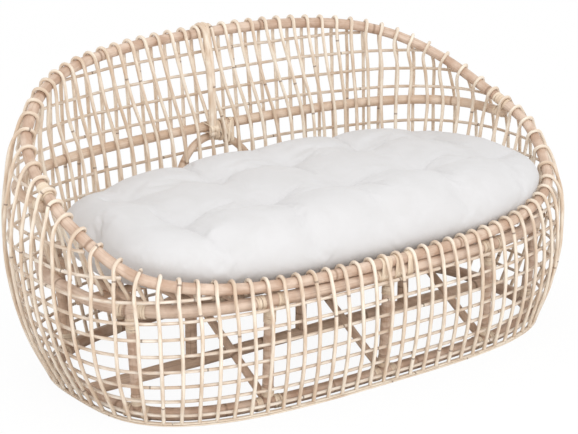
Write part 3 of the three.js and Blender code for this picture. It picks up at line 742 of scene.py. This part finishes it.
for number in range(1, LOWER_HOOPS + 1):
    line = level_line(LOWEST_HOOP + HOOP_PITCH * (number - 1), HOOP_INSET, HOOP_STEP)
    bend_hoop(f"hoop_under_seat_{number}", line, True, f"hoop_lower_{number}")
for name, height in UPPER_HOOPS.items():
    end = open_end(height, HOOP_INSET, RIM_REACH + HOOP_SPARE)
    line = level_line(height, HOOP_INSET, HOOP_STEP, end)
    bend_hoop(f"hoop_above_{name}", line, False, f"hoop_{name}")
print("hoops bent:", LOWER_HOOPS + len(UPPER_HOOPS))

# %% The foot band
FOOT_WIDTH = 0.012
FOOT_THICKNESS = 0.005
FOOT_STEP = 0.02


def flat_section(name, height):
    """An oval section for a flat band."""
    bpy.ops.object.select_all(action="DESELECT")
    bpy.ops.curve.primitive_bezier_circle_add(radius=1)
    section = bpy.context.object
    section.name = name
    section.data.resolution_u = 3
    bpy.ops.transform.resize(value=(FOOT_WIDTH / 2, height / 2, 1))
    bpy.ops.object.transform_apply(location=False, rotation=False, scale=True)
    return section


def flat_band(name, height, places, closed, section):
    """A flat band round the foot, set in by half its width."""
    points = []
    for place in places:
        out = skin_normal(place, height) * (1, 1, 0)
        points.append(skin_point(place, height) - unit(out) * FOOT_WIDTH / 2)
    line = smooth_line(points, FOOT_STEP, closed)
    return bend_canes(name, [line], 0, closed, section=section, uneven=0)


foot_section = flat_section("foot_section", FOOT_THICKNESS)
foot = flat_band("foot_band", FOOT_THICKNESS / 2, half_places, True, foot_section)
dress(foot, cane_finish, "foot_hoop")

# %% [markdown]
# ## The upright canes
# Each upright starts at the foot outside the hoops, climbs the belly, bends over the rim
# and comes down inside it, in front of the rail, to rest on the seat ring. Where the back
# is high the inner length leans to one side, by a little over one spacing, so that it
# crosses the outer ones. The lean dies out towards the right and turns back a little
# there. No two run quite true, so each strays a little from its place.
# They are made in the same groups as the solids, with the strip that holds their feet.
# %% Up the outside and over the rim
CANE_STEP = 0.0068
FOOT_STRIP_HEIGHT = 0.00755
OUTER_STRAY = 0.0013
LOOP_ROOM = 0.0008
LOOP_REACH = RIM_RADIUS + LOOP_ROOM + CANE_RADIUS
LOOP_ANGLES = np.linspace(0, math.pi, 9)


def corner_room(point_at, place):
    """The room that a ring's bend takes from a cane inside it."""
    here = point_at(place)
    arrive, leave = unit(here - point_at(place - 1)), unit(point_at(place + 1) - here)
    turned = math.acos(min(1.0, float(arrive @ leave)))
    return CANE_RADIUS * math.tan(turned / 2)


def climb_outside(place, along, skin_height):
    """The outer length of a cane, from its foot up to the rim."""
    points = [behind_skin(place, FOOT_STRIP_HEIGHT, CANE_RADIUS)[0]]
    for band in range(1, BANDS):
        z = RIM_BACK_HEIGHT * band / BANDS
        if z < skin_height - 3 * CANE_RADIUS:
            stray = along * rng.normal(0, OUTER_STRAY)
            points.append(skin_point(place, z) - skin_normal(place, z) * CANE_RADIUS + stray)
    return points


def over_rim(centre, outward, rise, reach, angles):
    """Points that bend over the rim, from its outside at 0 to its inside at pi."""
    return [centre + (outward * math.cos(angle) + rise * math.sin(angle)) * reach for angle in angles]


print("a cane's centre line lies", round(LOOP_REACH * 1000, 1), "mm from the rim's")

# %% Down the inside to the seat ring
LEAN_PLACES = (14, 18, 24, 28, 31, 37)
LEANS = (0, -0.4, -0.45, -0.3, 0, 1.2)
LEAN_BOTTOM, LEAN_CLIMB = 0.45, 0.2
HALFWAY_LEAN, SEAT_LEAN = 0.42, 0.1
HALFWAY_STRAY, RAIL_STRAY, INNER_STRAY = 0.05, 0.06, 0.002
RAIL_SPARE = 0.2
LOW_RIM, HIGH_RIM = 0.03, 0.12
LEG_CLIMB, LOW_LEG, LEG_TURN = 0.150, 55, 25
LONG_LEG = 0.16


def lean_at(place, height):
    """How many spacings an inner length has moved aside where it passes the rail."""
    lean = float(np.interp(place, LEAN_PLACES, LEANS))
    return lean * min(1, max(0, (height - LEAN_BOTTOM) / LEAN_CLIMB)) if lean > 0 else lean


def past_rail(place, lean, height):
    """The points of an inner length in front of the rail, where it passes the rail."""
    points = []
    room = GAP + corner_room(rim_point, place)
    rail_inset = RAIL_INSET + RAIL_REACH + room + CANE_RADIUS
    drop = height - RAIL_HEIGHT
    if abs(place - lean - BACK) < rail_end + RAIL_SPARE and drop > LOW_RIM:
        if drop > HIGH_RIM:
            z, inset = (height + RAIL_HEIGHT) / 2, (RIM_INSET + LOOP_REACH + rail_inset) / 2
            halfway = place - HALFWAY_LEAN * lean + rng.normal(0, HALFWAY_STRAY)
            points.append(behind_skin(halfway, z, inset)[0])
        at_rail = place - lean + rng.normal(0, RAIL_STRAY)
        points.append(behind_skin(at_rail, RAIL_HEIGHT, rail_inset)[0])
    return points


def rest_on_seat(place, height, above):
    """Where an inner length rests on the seat ring: on its top in front, on its inside behind."""
    climb = min(1, (height - RIM_FRONT_HEIGHT) / LEG_CLIMB)
    leg_angle = math.radians(LOW_LEG - LEG_TURN * climb)
    reach = RING_REACH + corner_room(seat_point, place) + CANE_RADIUS
    inward = -seat_outward(place)
    plumb = max(0, (above - seat_point(place)) @ inward)
    across = plumb + (reach * math.cos(leg_angle) - plumb) * climb
    rest = max(reach * math.sin(leg_angle), math.sqrt(max(0, reach**2 - across**2)))
    return seat_point(place) + inward * across + np.array([0, 0, rest])


def cane_line(place):
    """The whole path of one upright cane."""
    height = rim_height(place)
    centre, outward, skin_height = behind_skin(place, height, RIM_INSET)
    along = unit(unit(centre - rim_point(place - 1)) + unit(rim_point(place + 1) - centre))
    outward = unit(outward - along * (outward @ along))
    points = climb_outside(place, along, skin_height)
    points += over_rim(centre, outward, np.cross(outward, along), LOOP_REACH, LOOP_ANGLES)
    lean = lean_at(place, height)
    points += past_rail(place, lean, height)
    foot_point = rest_on_seat(place - lean - SEAT_LEAN * lean, height, points[-1])
    if np.linalg.norm(points[-1] - foot_point) > LONG_LEG:
        points.append((points[-1] + foot_point) / 2 + along * rng.normal(0, INNER_STRAY))
    return smooth_line([*points, foot_point], CANE_STEP)


print("lean at the middle of the back:", lean_at(BACK, rim_height(BACK)), "spacings")

# %% The canes in their groups
CANES_TOGETHER = 7
STRIP_END = 0.02
STRIP_THICKNESS = 0.0045
strip_section = flat_section("strip_section", STRIP_THICKNESS)
cane_length = 0


def join(pieces, main):
    """Joins pieces into one of them."""
    bpy.ops.object.select_all(action="DESELECT")
    for piece in pieces:
        piece.select_set(True)
    bpy.context.view_layer.objects.active = main
    bpy.ops.object.join()


for number in range(1, CANES // CANES_TOGETHER + 1):
    first = (number - 1) * CANES_TOGETHER
    places = first + np.arange(CANES_TOGETHER) + 0.5
    lines = [cane_line(float(place)) for place in places]
    cane_length += sum(lengths_along(line)[-1] for line in lines)
    canes = bend_canes(f"upright_canes_{number:02d}", lines, CANE_RADIUS, uneven=0.05)
    strip_places = [first + STRIP_END, *places, first + CANES_TOGETHER - STRIP_END]
    strip = flat_band("strip", FOOT_STRIP_HEIGHT, strip_places, False, strip_section)
    join([strip, canes], canes)
    dress(canes, cane_finish, f"stake_panel_{number:02d}")
print("upright canes, metres in all:", round(cane_length, 1))

# %% [markdown]
# ## The frame under the seat
# Posts join the two rings. A stretcher lies along the floor between the ring's ends, and
# three middle posts stand on it, each held by two leaning braces. Thirteen slats lie
# over one long bearer. They are straight poles, so each needs only its two ends.
# %% The posts
POST_RADIUS = 0.013
STRAIGHT_STEP = 0.02
POST_PLACE = 0.0972 * CANES
FRONT_CORNER = 0.1944 * CANES
REAR_CORNER = 0.3403 * CANES
post_places = {"front_centre": 0}
for name, place in {
    "front": POST_PLACE, "front_corner": FRONT_CORNER,
    "rear_corner": REAR_CORNER, "rear": BACK - POST_PLACE,
}.items():
    post_places[f"{name}_right"], post_places[f"{name}_left"] = place, -place
post_places["rear_centre"] = BACK


def base_point(place):
    """The base ring's centre line."""
    return behind_skin(place, BASE_HEIGHT, RING_INSET)[0]


def straight(start, end):
    """A straight line in even steps."""
    return smooth_line([start, end], STRAIGHT_STEP)


def straight_pole(name, node, start, end, radius, finish, roundness=POLE_ROUNDNESS):
    """A dressed pole between two points."""
    dress(bend_canes(name, [straight(start, end)], radius, False, roundness), finish, node)


for name, place in post_places.items():
    # Only the front posts are pale; the others, in the shade under the seat, take the browner finish
    # with its painted shade.
    finish = pole_finish if name.startswith("front") else frame_painted_shade_finish
    ends = base_point(place), seat_point(place)
    straight_pole(f"post_pole_{name}", f"post_{name}", *ends, POST_RADIUS, finish)
print("posts round the ring:", len(post_places))

# %% The stretcher, the middle posts and their braces
STRETCHER_RADIUS, MID_POST_RADIUS, BRACE_RADIUS = 0.015, 0.014, 0.010
BRACE_DROP = 0.028
FOOT_SINK = 0.004
reach = base_point(CANES / 4)[0]
ends = (-reach, middle_y, BASE_HEIGHT), (reach, middle_y, BASE_HEIGHT)
straight_pole("stretcher_pole", "centre_stretcher", *ends, STRETCHER_RADIUS, frame_painted_shade_finish)
for name, place in {"left": -POST_PLACE, "centre": 0, "right": POST_PLACE}.items():
    x = base_point(place)[0]
    low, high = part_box(f"mid_post_{name}")
    ends = (x, middle_y, low.z - FOOT_SINK), (x, middle_y, high.z)
    straight_pole(f"middle_pole_{name}", f"mid_post_{name}", *ends, MID_POST_RADIUS, frame_painted_shade_finish)
    for side, ring_place in {"front": place, "rear": BACK - place}.items():
        ends = base_point(ring_place), (x, middle_y, high.z - BRACE_DROP)
        names = f"brace_pole_{side}_{name}", f"brace_{side}_{name}"
        straight_pole(*names, *ends, BRACE_RADIUS, frame_painted_shade_finish, roundness=5)
print("the stretcher is", round(2 * reach, 3), "m long")

# %% The slats
SLAT_RADIUS = 0.010
SLAT_PITCH = 0.093
SLAT_INSET = 0.012
BEARER_INSET = 0.015
BEARER_RAISED = 0.012
deck_low, deck_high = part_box("seat_deck")
bearer_height = deck_low.z + BEARER_RAISED
deck_lines = [straight(
    (deck_low.x + BEARER_INSET, middle_y, bearer_height),
    (deck_high.x - BEARER_INSET, middle_y, bearer_height),
)]
for x in SLAT_PITCH * np.arange(-6, 7):
    ends = []
    for sign in (-1, 1):
        edge = [point for point in seat_line if sign * (point[1] - middle_y) > 0]
        nearest = min(edge, key=lambda point: abs(point[0] - x))
        ends.append((x, nearest[1] - sign * SLAT_INSET, deck_high.z - SLAT_RADIUS))
    deck_lines.append(straight(*ends))
deck = bend_canes("seat_slats", deck_lines, SLAT_RADIUS, roundness=4)
dress(deck, frame_painted_shade_finish, "seat_deck")
print("slats:", len(deck_lines) - 1)

# %% [markdown]
# ## The middle of the back
# A post of two pale lengths, bent over the rim side by side, comes down to the middle of
# the rail, and an arch of thinner pole springs from the seat ring up to the rail's
# underside.
# %% The back post
STRAND_RADIUS = 0.0072
STRAND_STEP = 0.008
STRANDS_ASIDE, STRANDS_CLOSE_IN = 0.0068, 0.0035
POST_LEAN = 0.3
POST_DROPS = (0.3, 0.65, 1.0, 1.08)
POST_SINK, SINK_RATE, POST_SLOPE = 0.012, 2.5, 0.005
POST_ANGLES = np.linspace(0.1 * math.pi, math.pi, 8)
post_reach = RIM_RADIUS + GAP + STRAND_RADIUS
rim_back, rim_out, _ = behind_skin(BACK, rim_height(BACK), RIM_INSET)
rim_rise = np.cross(rim_out, tangent(rim_point, BACK))
post_strands = []
for side in (-1, 1):
    strand = over_rim(rim_back, rim_out, rim_rise, post_reach, POST_ANGLES)
    for drop in POST_DROPS:
        z = rim_height(BACK) + (RAIL_HEIGHT - rim_height(BACK)) * drop
        inset = RIM_INSET + post_reach + POST_SINK * min(1, SINK_RATE * drop) + POST_SLOPE * drop
        strand.append(behind_skin(BACK + POST_LEAN * drop, z, inset)[0])
    for index, point in enumerate(strand):
        aside = side * (STRANDS_ASIDE - STRANDS_CLOSE_IN * index / 10)
        strand[index] = point + np.array([aside, 0, 0])
    post_strands.append(smooth_line(strand, STRAND_STEP))
back_post = bend_canes("back_middle_post", post_strands, STRAND_RADIUS, roundness=4)
dress(back_post, cane_finish, "back_post")
print("back post", round(lengths_along(post_strands[0])[-1], 3), "m long")

# %% The arch
ARCH_RADIUS = 0.010
ARCH_HALF_WIDTH = 0.130
ARCH_INSET = 0.030
ARCH_BELOW_RAIL = 0.0108
arch_top = RAIL_HEIGHT - RAIL_REACH - ARCH_BELOW_RAIL
seat_spacing = np.linalg.norm(seat_point(BACK + 0.5) - seat_point(BACK - 0.5))


def arch_point(angle):
    """The arch's centre line, from its right foot at 0 to its left foot at pi."""
    z = SEAT_HEIGHT + (arch_top - SEAT_HEIGHT) * math.sin(angle)
    place = BACK - ARCH_HALF_WIDTH * math.cos(angle) / seat_spacing
    outer = behind_skin(place, z, ARCH_INSET)[0]
    inner = seat_point(place) * (1, 1, 0) + np.array([0, 0, z])
    return outer + (inner - outer) * (1 - math.sin(angle))


arch_line = smooth_line([arch_point(angle) for angle in np.linspace(0, math.pi, 15)], STRAND_STEP)
arch = bend_canes("back_arch_pole", [arch_line], ARCH_RADIUS, roundness=5)
# The arch takes the rail's paler finish, with its painted light.
dress(arch, rail_painted_light_finish, "back_arch")
print("arch", round(lengths_along(arch_line)[-1], 3), "m long")

# %% [markdown]
# ## Peel bindings
# Where poles meet they are wound with peel, a flat strip split from the cane's skin. One
# turn is a ring whose section is squashed flat. It is modelled once and copied along the
# pole, each copy a little askew, as tight hand winding looks. Where two poles are bound
# together the ring is drawn out to go round both.
# %% One turn of peel
PEEL_THICKNESS = 0.0016
PEEL_LIFT = 0.0007
PEEL_WIDTH, RAIL_PEEL_WIDTH, FRONT_PEEL_WIDTH, LACE_WIDTH = 0.0062, 0.0078, 0.0115, 0.0068


def peel_turn(radius, width, second_radius=None, apart=0.0):
    """One turn of peel round a pole, or round two poles that lie apart along X."""
    bpy.ops.object.select_all(action="DESELECT")
    bpy.ops.mesh.primitive_torus_add(
        major_segments=32, minor_segments=8,
        major_radius=radius + PEEL_LIFT, minor_radius=PEEL_THICKNESS / 2,
    )
    turn_of_peel = bpy.context.object
    bpy.ops.object.mode_set(mode="EDIT")
    bpy.ops.mesh.select_all(action="SELECT")
    bpy.ops.transform.resize(value=(1, 1, width / PEEL_THICKNESS))
    bpy.ops.object.mode_set(mode="OBJECT")
    for corner in turn_of_peel.data.vertices:
        if apart and corner.co.x > 0:
            scale = (second_radius + PEEL_LIFT) / (radius + PEEL_LIFT)
            corner.co.x = corner.co.x * scale + apart / 2
            corner.co.y *= scale
        elif apart:
            corner.co.x -= apart / 2
    for loop in turn_of_peel.data.uv_layers[0].data:
        loop.uv.x *= 2 * math.pi * radius + 2 * apart
    return turn_of_peel


ring_turn = peel_turn(RING_RADIUS, PEEL_WIDTH)
post_turn = peel_turn(POST_RADIUS, PEEL_WIDTH)
rail_turn = peel_turn(RAIL_RADIUS, RAIL_PEEL_WIDTH)
rim_turn = peel_turn(RIM_RADIUS, RAIL_PEEL_WIDTH)
print("one turn of peel has", len(ring_turn.data.polygons), "faces")


# %% Winding the peel
def set_frame(centre, along, across):
    """A placement whose Z runs along the pole and X across it."""
    z = Vector(along).normalized()
    x = Vector(across)
    x = (x - z * x.dot(z)).normalized()
    return Matrix.Translation(centre) @ Matrix((x, z.cross(x), z)).transposed().to_4x4()


def wind(turn_of_peel, centre, along, across, turns, pitch, askew=3.0):
    """Copies a turn along a pole, each a little askew, and returns the copies."""
    global cane_count
    copies = []
    for number in range(turns):
        copy = turn_of_peel.copy()
        copy.data = turn_of_peel.data.copy()
        bpy.context.collection.objects.link(copy)
        middle = Vector(centre) + Vector(along).normalized() * ((number - (turns - 1) / 2) * pitch)
        tilt = Matrix.Identity(4)
        for axis in "XY":
            tilt = tilt @ Matrix.Rotation(math.radians(rng.normal(0, askew)), 4, axis)
        copy.data.transform(set_frame(middle, along, across) @ tilt)
        for loop in copy.data.uv_layers[0].data:
            loop.uv.x += MAP_METRES * cane_count
        cane_count += 1
        copies.append(copy)
    return copies


def finish_binding(name, copies, *templates):
    """Joins the turns of one binding, dresses it and puts its templates away."""
    join(copies, copies[0])
    binding = bpy.context.object
    binding.name = name
    bpy.ops.object.shade_smooth()
    dress(binding, peel_finish)
    for template in templates:
        bpy.data.objects.remove(template)
    print(name, "has", len(copies), "turns")


# %% At the posts
POST_PITCH = 0.0056
SEAT_WRAP_ASIDE, BASE_WRAP_ASIDE = 0.027, 0.024
HEAD_WRAP_DOWN, FOOT_WRAP_UP = 0.034, 0.030
up = np.array([0, 0, 1.0])
for name, place in post_places.items():
    head, foot_point = seat_point(place), base_point(place)
    axis = unit(foot_point - head)
    seat_way, base_way = tangent(seat_point, place), tangent(base_point, place)
    turns = []
    for sign in (-1, 1):
        beside = head + seat_way * sign * SEAT_WRAP_ASIDE
        turns += wind(ring_turn, beside, seat_way, up, 4, POST_PITCH)
        beside = foot_point + base_way * sign * BASE_WRAP_ASIDE
        turns += wind(ring_turn, beside, base_way, up, 3, POST_PITCH)
    turns += wind(post_turn, head + axis * HEAD_WRAP_DOWN, axis, seat_way, 6, POST_PITCH)
    turns += wind(post_turn, foot_point - axis * FOOT_WRAP_UP, axis, seat_way, 4, POST_PITCH)
    finish_binding(f"binding_post_{name}", turns)

# %% [markdown]
# The rim rests on the seat ring along the front, and wide bands hold the two together at
# the middle. The rail's ends are bound to the rim, and the arch, the rail and the back
# post are laced together with crossing loops.
# %% At the front of the rim
FRONT_PITCH = 0.0098
FRONT_BANDS = {-0.45: 3, 0.42: 2, 1.31: 2}
turns = []
for place, count in FRONT_BANDS.items():
    middle, across = (seat_point(place) + rim_point(place)) / 2, rim_point(place) - seat_point(place)
    pair_turn = peel_turn(RING_RADIUS, FRONT_PEEL_WIDTH, RIM_RADIUS, np.linalg.norm(across))
    turns += wind(pair_turn, middle, tangent(seat_point, place), across, count, FRONT_PITCH, 5)
    bpy.data.objects.remove(pair_turn)
finish_binding("binding_rim_front", turns)

# %% At the rail's ends
RAIL_PITCH = 0.0068
RAIL_WRAP_IN = 0.45
RIM_SEARCH = np.linspace(14, 35, 169)


def rail_point(place):
    """The rail's centre line."""
    return behind_skin(place, RAIL_HEIGHT, RAIL_INSET)[0]


for name, sign in (("right", -1), ("left", 1)):
    place = BACK + sign * (rail_end - RAIL_WRAP_IN)
    end = rail_point(place)
    turns = wind(rail_turn, end, tangent(rail_point, place), up, 4, RAIL_PITCH, 5)
    rim_places = RIM_SEARCH if sign < 0 else CANES - RIM_SEARCH
    meeting = min(rim_places, key=lambda place: np.linalg.norm(rim_point(place) - end))
    turns += wind(rim_turn, rim_point(meeting), tangent(rim_point, meeting), up, 6, RAIL_PITCH, 5)
    finish_binding(f"binding_rail_{name}", turns)

# %% At the arch and the back post
LACE_PITCH = 0.006
LACES = ((0.012, -8, 3), (0.027, 16, 2), (0.035, -24, 2), (0.044, 22, 2), (0.055, -6, 3))
RAIL_LACE_RADIUS, ARCH_LACE_RADIUS, POST_LACE_RADIUS = 0.0132, 0.0107, 0.0088
POST_SET_IN = 0.017
turns = []
for aside, tilt, count in LACES:
    on_arch = arch_point(math.acos(aside / ARCH_HALF_WIDTH))
    on_rail = rail_point(BACK - aside / seat_spacing)
    apart = float(np.linalg.norm(on_arch - on_rail))
    lace_turn = peel_turn(RAIL_LACE_RADIUS, LACE_WIDTH, ARCH_LACE_RADIUS, apart)
    tilt_axis = np.array([math.cos(math.radians(tilt)), 0, math.sin(math.radians(tilt))])
    turns += wind(lace_turn, (on_rail + on_arch) / 2, tilt_axis, on_arch - on_rail, count, LACE_PITCH, 5)
    bpy.data.objects.remove(lace_turn)
on_rail = rail_point(BACK + POST_LEAN)
post_inset = RIM_INSET + RIM_RADIUS + GAP + STRAND_RADIUS + POST_SET_IN
on_post = behind_skin(BACK + POST_LEAN, RAIL_HEIGHT, post_inset)[0]
apart = float(np.linalg.norm(on_rail - on_post))
post_wrap = peel_turn(RAIL_RADIUS, LACE_WIDTH, POST_LACE_RADIUS, apart)
turns += wind(post_wrap, (on_rail + on_post) / 2, (1, 0, 0), on_post - on_rail, 4, LACE_PITCH, 4)
templates = (ring_turn, post_turn, rail_turn, rim_turn, post_wrap, foot_section, strip_section)
finish_binding("binding_back_middle", turns, *templates)

# %% [markdown]
# ## The cushion
# The cushion is one sewn bag of off-white cotton with loose filling, caught down at ten
# tufts. A bag like that gets its look from pressure, so it is blown up by simulation: a
# slightly small form is made, held at the tufts and where it lies on the slats, and air
# pressure fills the rest. The fabric then puckers between the tufts by itself.
# %% The bag before it is filled
CUSHION_HALF_WIDTH, CUSHION_HALF_DEPTH = 0.634, 0.320
CUSHION_X, CUSHION_Y = 0.014, -0.014
CUSHION_CROWN, CUSHION_UNDERSIDE = 0.076, 0.096
OUTLINE_POWER, TOP_POWER, BOTTOM_POWER, EDGE_POWER = 3.1, 4.5, 9, 0.46
TUFT_DEPTH, TUFT_REACH, TUFT_PITCH = 0.026, 0.052, 0.230
TUFTS_X, TUFTS_Y = 0.035, -0.008
CHANNEL_DEPTH, EDGE_CHANNEL_DEPTH, CHANNEL_REACH = 0.009, 0.020, 0.042
CHANNEL_DEEPENS, CHANNEL_FADE = 0.115, 0.15
SHRINK = 0.004
VOXEL = 0.0085
cushion_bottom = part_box("cushion")[0].z
seam = cushion_bottom + CUSHION_UNDERSIDE
tufts = [
    (TUFTS_X + TUFT_PITCH * column, middle_y + TUFTS_Y + TUFT_PITCH / 2 * row)
    for column in range(-2, 3) for row in (-1, 1)
]


def cushion_form(corner):
    """Moves a corner of a unit ball onto the cushion's form, a little small all round."""
    level = math.hypot(corner.x, corner.y)
    share = min(1, 2 / math.pi * math.asin(min(1, level)) if level < 1 else 1)
    share = math.sin(share * math.pi / 2)
    turn = math.atan2(corner.x, corner.y)
    x = (CUSHION_HALF_WIDTH - SHRINK) * share * float(signed_power(math.sin(turn), 2 / OUTLINE_POWER))
    y = (CUSHION_HALF_DEPTH - SHRINK) * share * float(signed_power(math.cos(turn), 2 / OUTLINE_POWER))
    top = corner.z >= 0
    fullness = max(0, 1 - share ** (TOP_POWER if top else BOTTOM_POWER)) ** EDGE_POWER
    x += CUSHION_X
    y += middle_y + CUSHION_Y
    if not top:
        return Vector((x, y, seam - CUSHION_UNDERSIDE * fullness))
    drop = TUFT_DEPTH * max(math.exp(-((math.dist((x, y), tuft) / TUFT_REACH) ** 2)) for tuft in tufts)
    across = min(abs(x - tuft[0]) for tuft in tufts)
    outside = min(1, max(0, (abs(y - middle_y - CUSHION_Y) - CHANNEL_DEEPENS) / CHANNEL_FADE))
    channel = (CHANNEL_DEPTH + EDGE_CHANNEL_DEPTH * outside) * math.exp(-((across / CHANNEL_REACH) ** 2))
    return Vector((x, y, seam + ((CUSHION_CROWN - SHRINK) - max(drop, channel)) * fullness))


bpy.ops.object.select_all(action="DESELECT")
bpy.ops.mesh.primitive_uv_sphere_add(segments=128, ring_count=64, radius=1)
cushion = bpy.context.object
cushion.name = "seat_cushion"
for corner in cushion.data.vertices:
    corner.co = cushion_form(corner.co)
remesh = cushion.modifiers.new("even_cloth", "REMESH")
remesh.mode = "VOXEL"
remesh.voxel_size = VOXEL
bpy.ops.object.modifier_apply(modifier=remesh.name)
print("cushion cloth", len(cushion.data.vertices), "corners")

# %% Filling it with air
CLOTH_FRAMES = 20
CLOTH_CAP = 0.030
HELD_HEIGHT, HELD_REACH = 0.006, 0.011
BOTTOM_ROOM = 0.0005
CLOTH_SETTINGS = {
    "use_pressure": True, "uniform_pressure_force": 4, "tension_stiffness": 15,
    "bending_stiffness": 0.6, "quality": 5, "vertex_group_mass": "held",
}


def read_corners(piece):
    """The corners of a mesh as an array."""
    corners = np.empty(len(piece.data.vertices) * 3)
    piece.data.vertices.foreach_get("co", corners)
    return corners.reshape(-1, 3)


def write_corners(piece, corners):
    """Moves the corners of a mesh."""
    piece.data.vertices.foreach_set("co", corners.ravel())
    piece.data.update()


def blow_up(piece):
    """Fills the bag by cloth simulation, and caps how far a point may move."""
    start = read_corners(piece)
    held = piece.vertex_groups.new(name="held")
    for index, point in enumerate(start):
        near = min(math.dist(point[:2], tuft) for tuft in tufts)
        if point[2] < cushion_bottom + HELD_HEIGHT or near < HELD_REACH:
            held.add([index], 1.0, "REPLACE")
    cloth = piece.modifiers.new("cloth", "CLOTH")
    for name, value in CLOTH_SETTINGS.items():
        setattr(cloth.settings, name, value)
    cloth.settings.effector_weights.gravity = 0
    cloth.point_cache.frame_start = 1
    cloth.point_cache.frame_end = CLOTH_FRAMES
    for number in range(1, CLOTH_FRAMES + 1):
        bpy.context.scene.frame_set(number)
    bpy.ops.object.modifier_apply(modifier=cloth.name)
    move = read_corners(piece) - start
    far = np.linalg.norm(move, axis=1, keepdims=True)
    place = start + move * np.minimum(1, CLOTH_CAP / np.maximum(far, 1e-9))
    place[:, 2] = np.maximum(place[:, 2], cushion_bottom + BOTTOM_ROOM)
    write_corners(piece, place)
    piece.vertex_groups.clear()
    bpy.context.scene.frame_set(1)
    print("cushion swelled by up to", round(float(far.max()), 4), "m")


blow_up(cushion)
smooth = cushion.modifiers.new("soften", "SUBSURF")
smooth.levels = smooth.render_levels = 1
bpy.ops.object.modifier_apply(modifier=smooth.name)
bpy.ops.object.shade_smooth()
print("softened cushion", len(cushion.data.polygons), "faces")

# %% [markdown]
# A tuft's thread also pulls the cover into soft pinched folds that run out from it. Each
# fold is a short bent line in plan, given by its start, its bend and its end as x and y in
# millimetres. The cover sinks along it, sharply at the line and softly beside it, and the
# fold dies out at both ends.
# %% Pinched folds
FOLD_DEPTH = 0.006
FOLD_WIDTH = 0.006
FOLD_POINTS = 33
FOLD_FULL_HEIGHT = 0.03
FOLDS = (
    (-425, -123, -334, -97, -270, -103), (-450, -20, -458, -83, -425, -125),
    (-195, -123, -136, -117, -70, -93), (-195, -125, -180, -170, -174, -240),
    (35, -125, 92, -117, 165, -115), (40, -125, 85, -165, 74, -245),
    (262, -125, 322, -95, 410, -79), (-478, 139, -464, 118, -462, 70),
    (-215, 35, -175, 85, -108, 118), (38, 105, 32, 14, 14, -43),
    (45, 105, 89, 109, 130, 113), (255, 100, 282, 87, 330, 85),
    (265, -125, 285, -180, 280, -250), (495, -120, 540, -125, 585, -115),
    (495, 105, 490, 40, 497, -50), (-195, 110, -190, 180, -205, 245),
    (270, 110, 262, 180, 270, 240), (-425, -125, -440, -180, -430, -250),
)


def pinch_folds(piece):
    """Sinks the top of the cushion along each fold."""
    corners = read_corners(piece)
    drop = np.zeros(len(corners))
    share = np.linspace(0, 1, FOLD_POINTS)[:, None]
    for start, bend, end in np.array(FOLDS).reshape(-1, 3, 2) / 1000:
        line = (1 - share) ** 2 * start + 2 * share * (1 - share) * bend + share**2 * end
        line[:, 1] += middle_y
        apart = np.linalg.norm(corners[:, None, :2] - line[None], axis=2)
        nearest = apart.argmin(axis=1)
        fade = np.sin(math.pi * (0.12 + 0.88 * share[nearest, 0])) ** 0.8
        away = apart[np.arange(len(corners)), nearest]
        valley = np.exp(-((away / FOLD_WIDTH) ** 2)) + 0.5 * np.exp(-((away / (4 * FOLD_WIDTH)) ** 2))
        drop = np.maximum(drop, FOLD_DEPTH * fade * valley)
    corners[:, 2] -= drop * np.clip((corners[:, 2] - seam) / FOLD_FULL_HEIGHT, 0, 1)
    write_corners(piece, corners)


pinch_folds(cushion)
print("folds pinched into the cover:", len(FOLDS))

# %% [markdown]
# ## Cotton
# The cover is a plain weave in off-white cotton. Two sets of fine waves, one each way,
# make the weave; a slow noise makes the slack folds that even tight cotton keeps. The
# cloth is matt with a faint sheen, and its colour hardly varies, but for a little painted
# shade in the hollows of the weave.
# %% The weave
THREAD = 0.0011


def make_weave_group():
    """The height of a plain weave and of its slack folds."""
    group, given, result, sums = new_group("cotton_weave", {"Thread": THREAD}, ("Weave", "Folds"))
    spot = add_node(group, "ShaderNodeTexCoord").outputs["Object"]
    parts = add_node(group, "ShaderNodeSeparateXYZ", {0: spot}).outputs
    waves = []
    for axis in (0, 1):
        turns = sums("DIVIDE", parts[axis], given["Thread"])
        waves.append(sums("SINE", sums("MULTIPLY", turns, 2 * math.pi)))
    weave = sums("MULTIPLY", sums("ADD", sums("MULTIPLY", *waves), 1), 0.5)
    group.links.new(weave, result["Weave"])
    settings = {"Vector": spot, "Scale": 16, "Detail": 3, "Distortion": 0.6}
    group.links.new(add_node(group, "ShaderNodeTexNoise", settings).outputs["Fac"], result["Folds"])
    return group


weave_group = make_weave_group()
print("weave:", len(weave_group.nodes), "nodes")

# %% The cotton, and the cushion dressed in it
cotton, tree, output = new_material("off_white_cotton")
weave = add_node(tree, "ShaderNodeGroup", {"Thread": THREAD}, node_tree=weave_group).outputs
folds = to_range(tree, weave["Folds"], 0.35, 0.7)
colour = mix_colours(tree, folds, (0.640, 0.632, 0.635), (0.615, 0.606, 0.606))
# The weave's low points are darkened a little: painted shade in its hollows.
colour = mix_colours(tree, to_range(tree, weave["Weave"], 0, 1, 0.06, 0), colour, (0.55, 0.54, 0.53))
fine = add_node(tree, "ShaderNodeBump", {"Strength": 0.35, "Distance": 0.0003, "Height": weave["Weave"]})
slack = add_node(tree, "ShaderNodeBump", {
    "Strength": 0.25, "Distance": 0.004, "Height": weave["Folds"], "Normal": fine.outputs[0],
})
skin = add_node(tree, "ShaderNodeBsdfPrincipled", {
    "Base Color": colour, "Roughness": to_range(tree, weave["Weave"], 0, 1, 0.95, 0.85),
    "Sheen Weight": 0.15, "Specular IOR Level": 0.2, "Normal": slack.outputs[0],
})
tree.links.new(skin.outputs[0], output.inputs["Surface"])

dress(cushion, cotton, "cushion", body="cushion")
print("cushion dressed in", cotton.name)
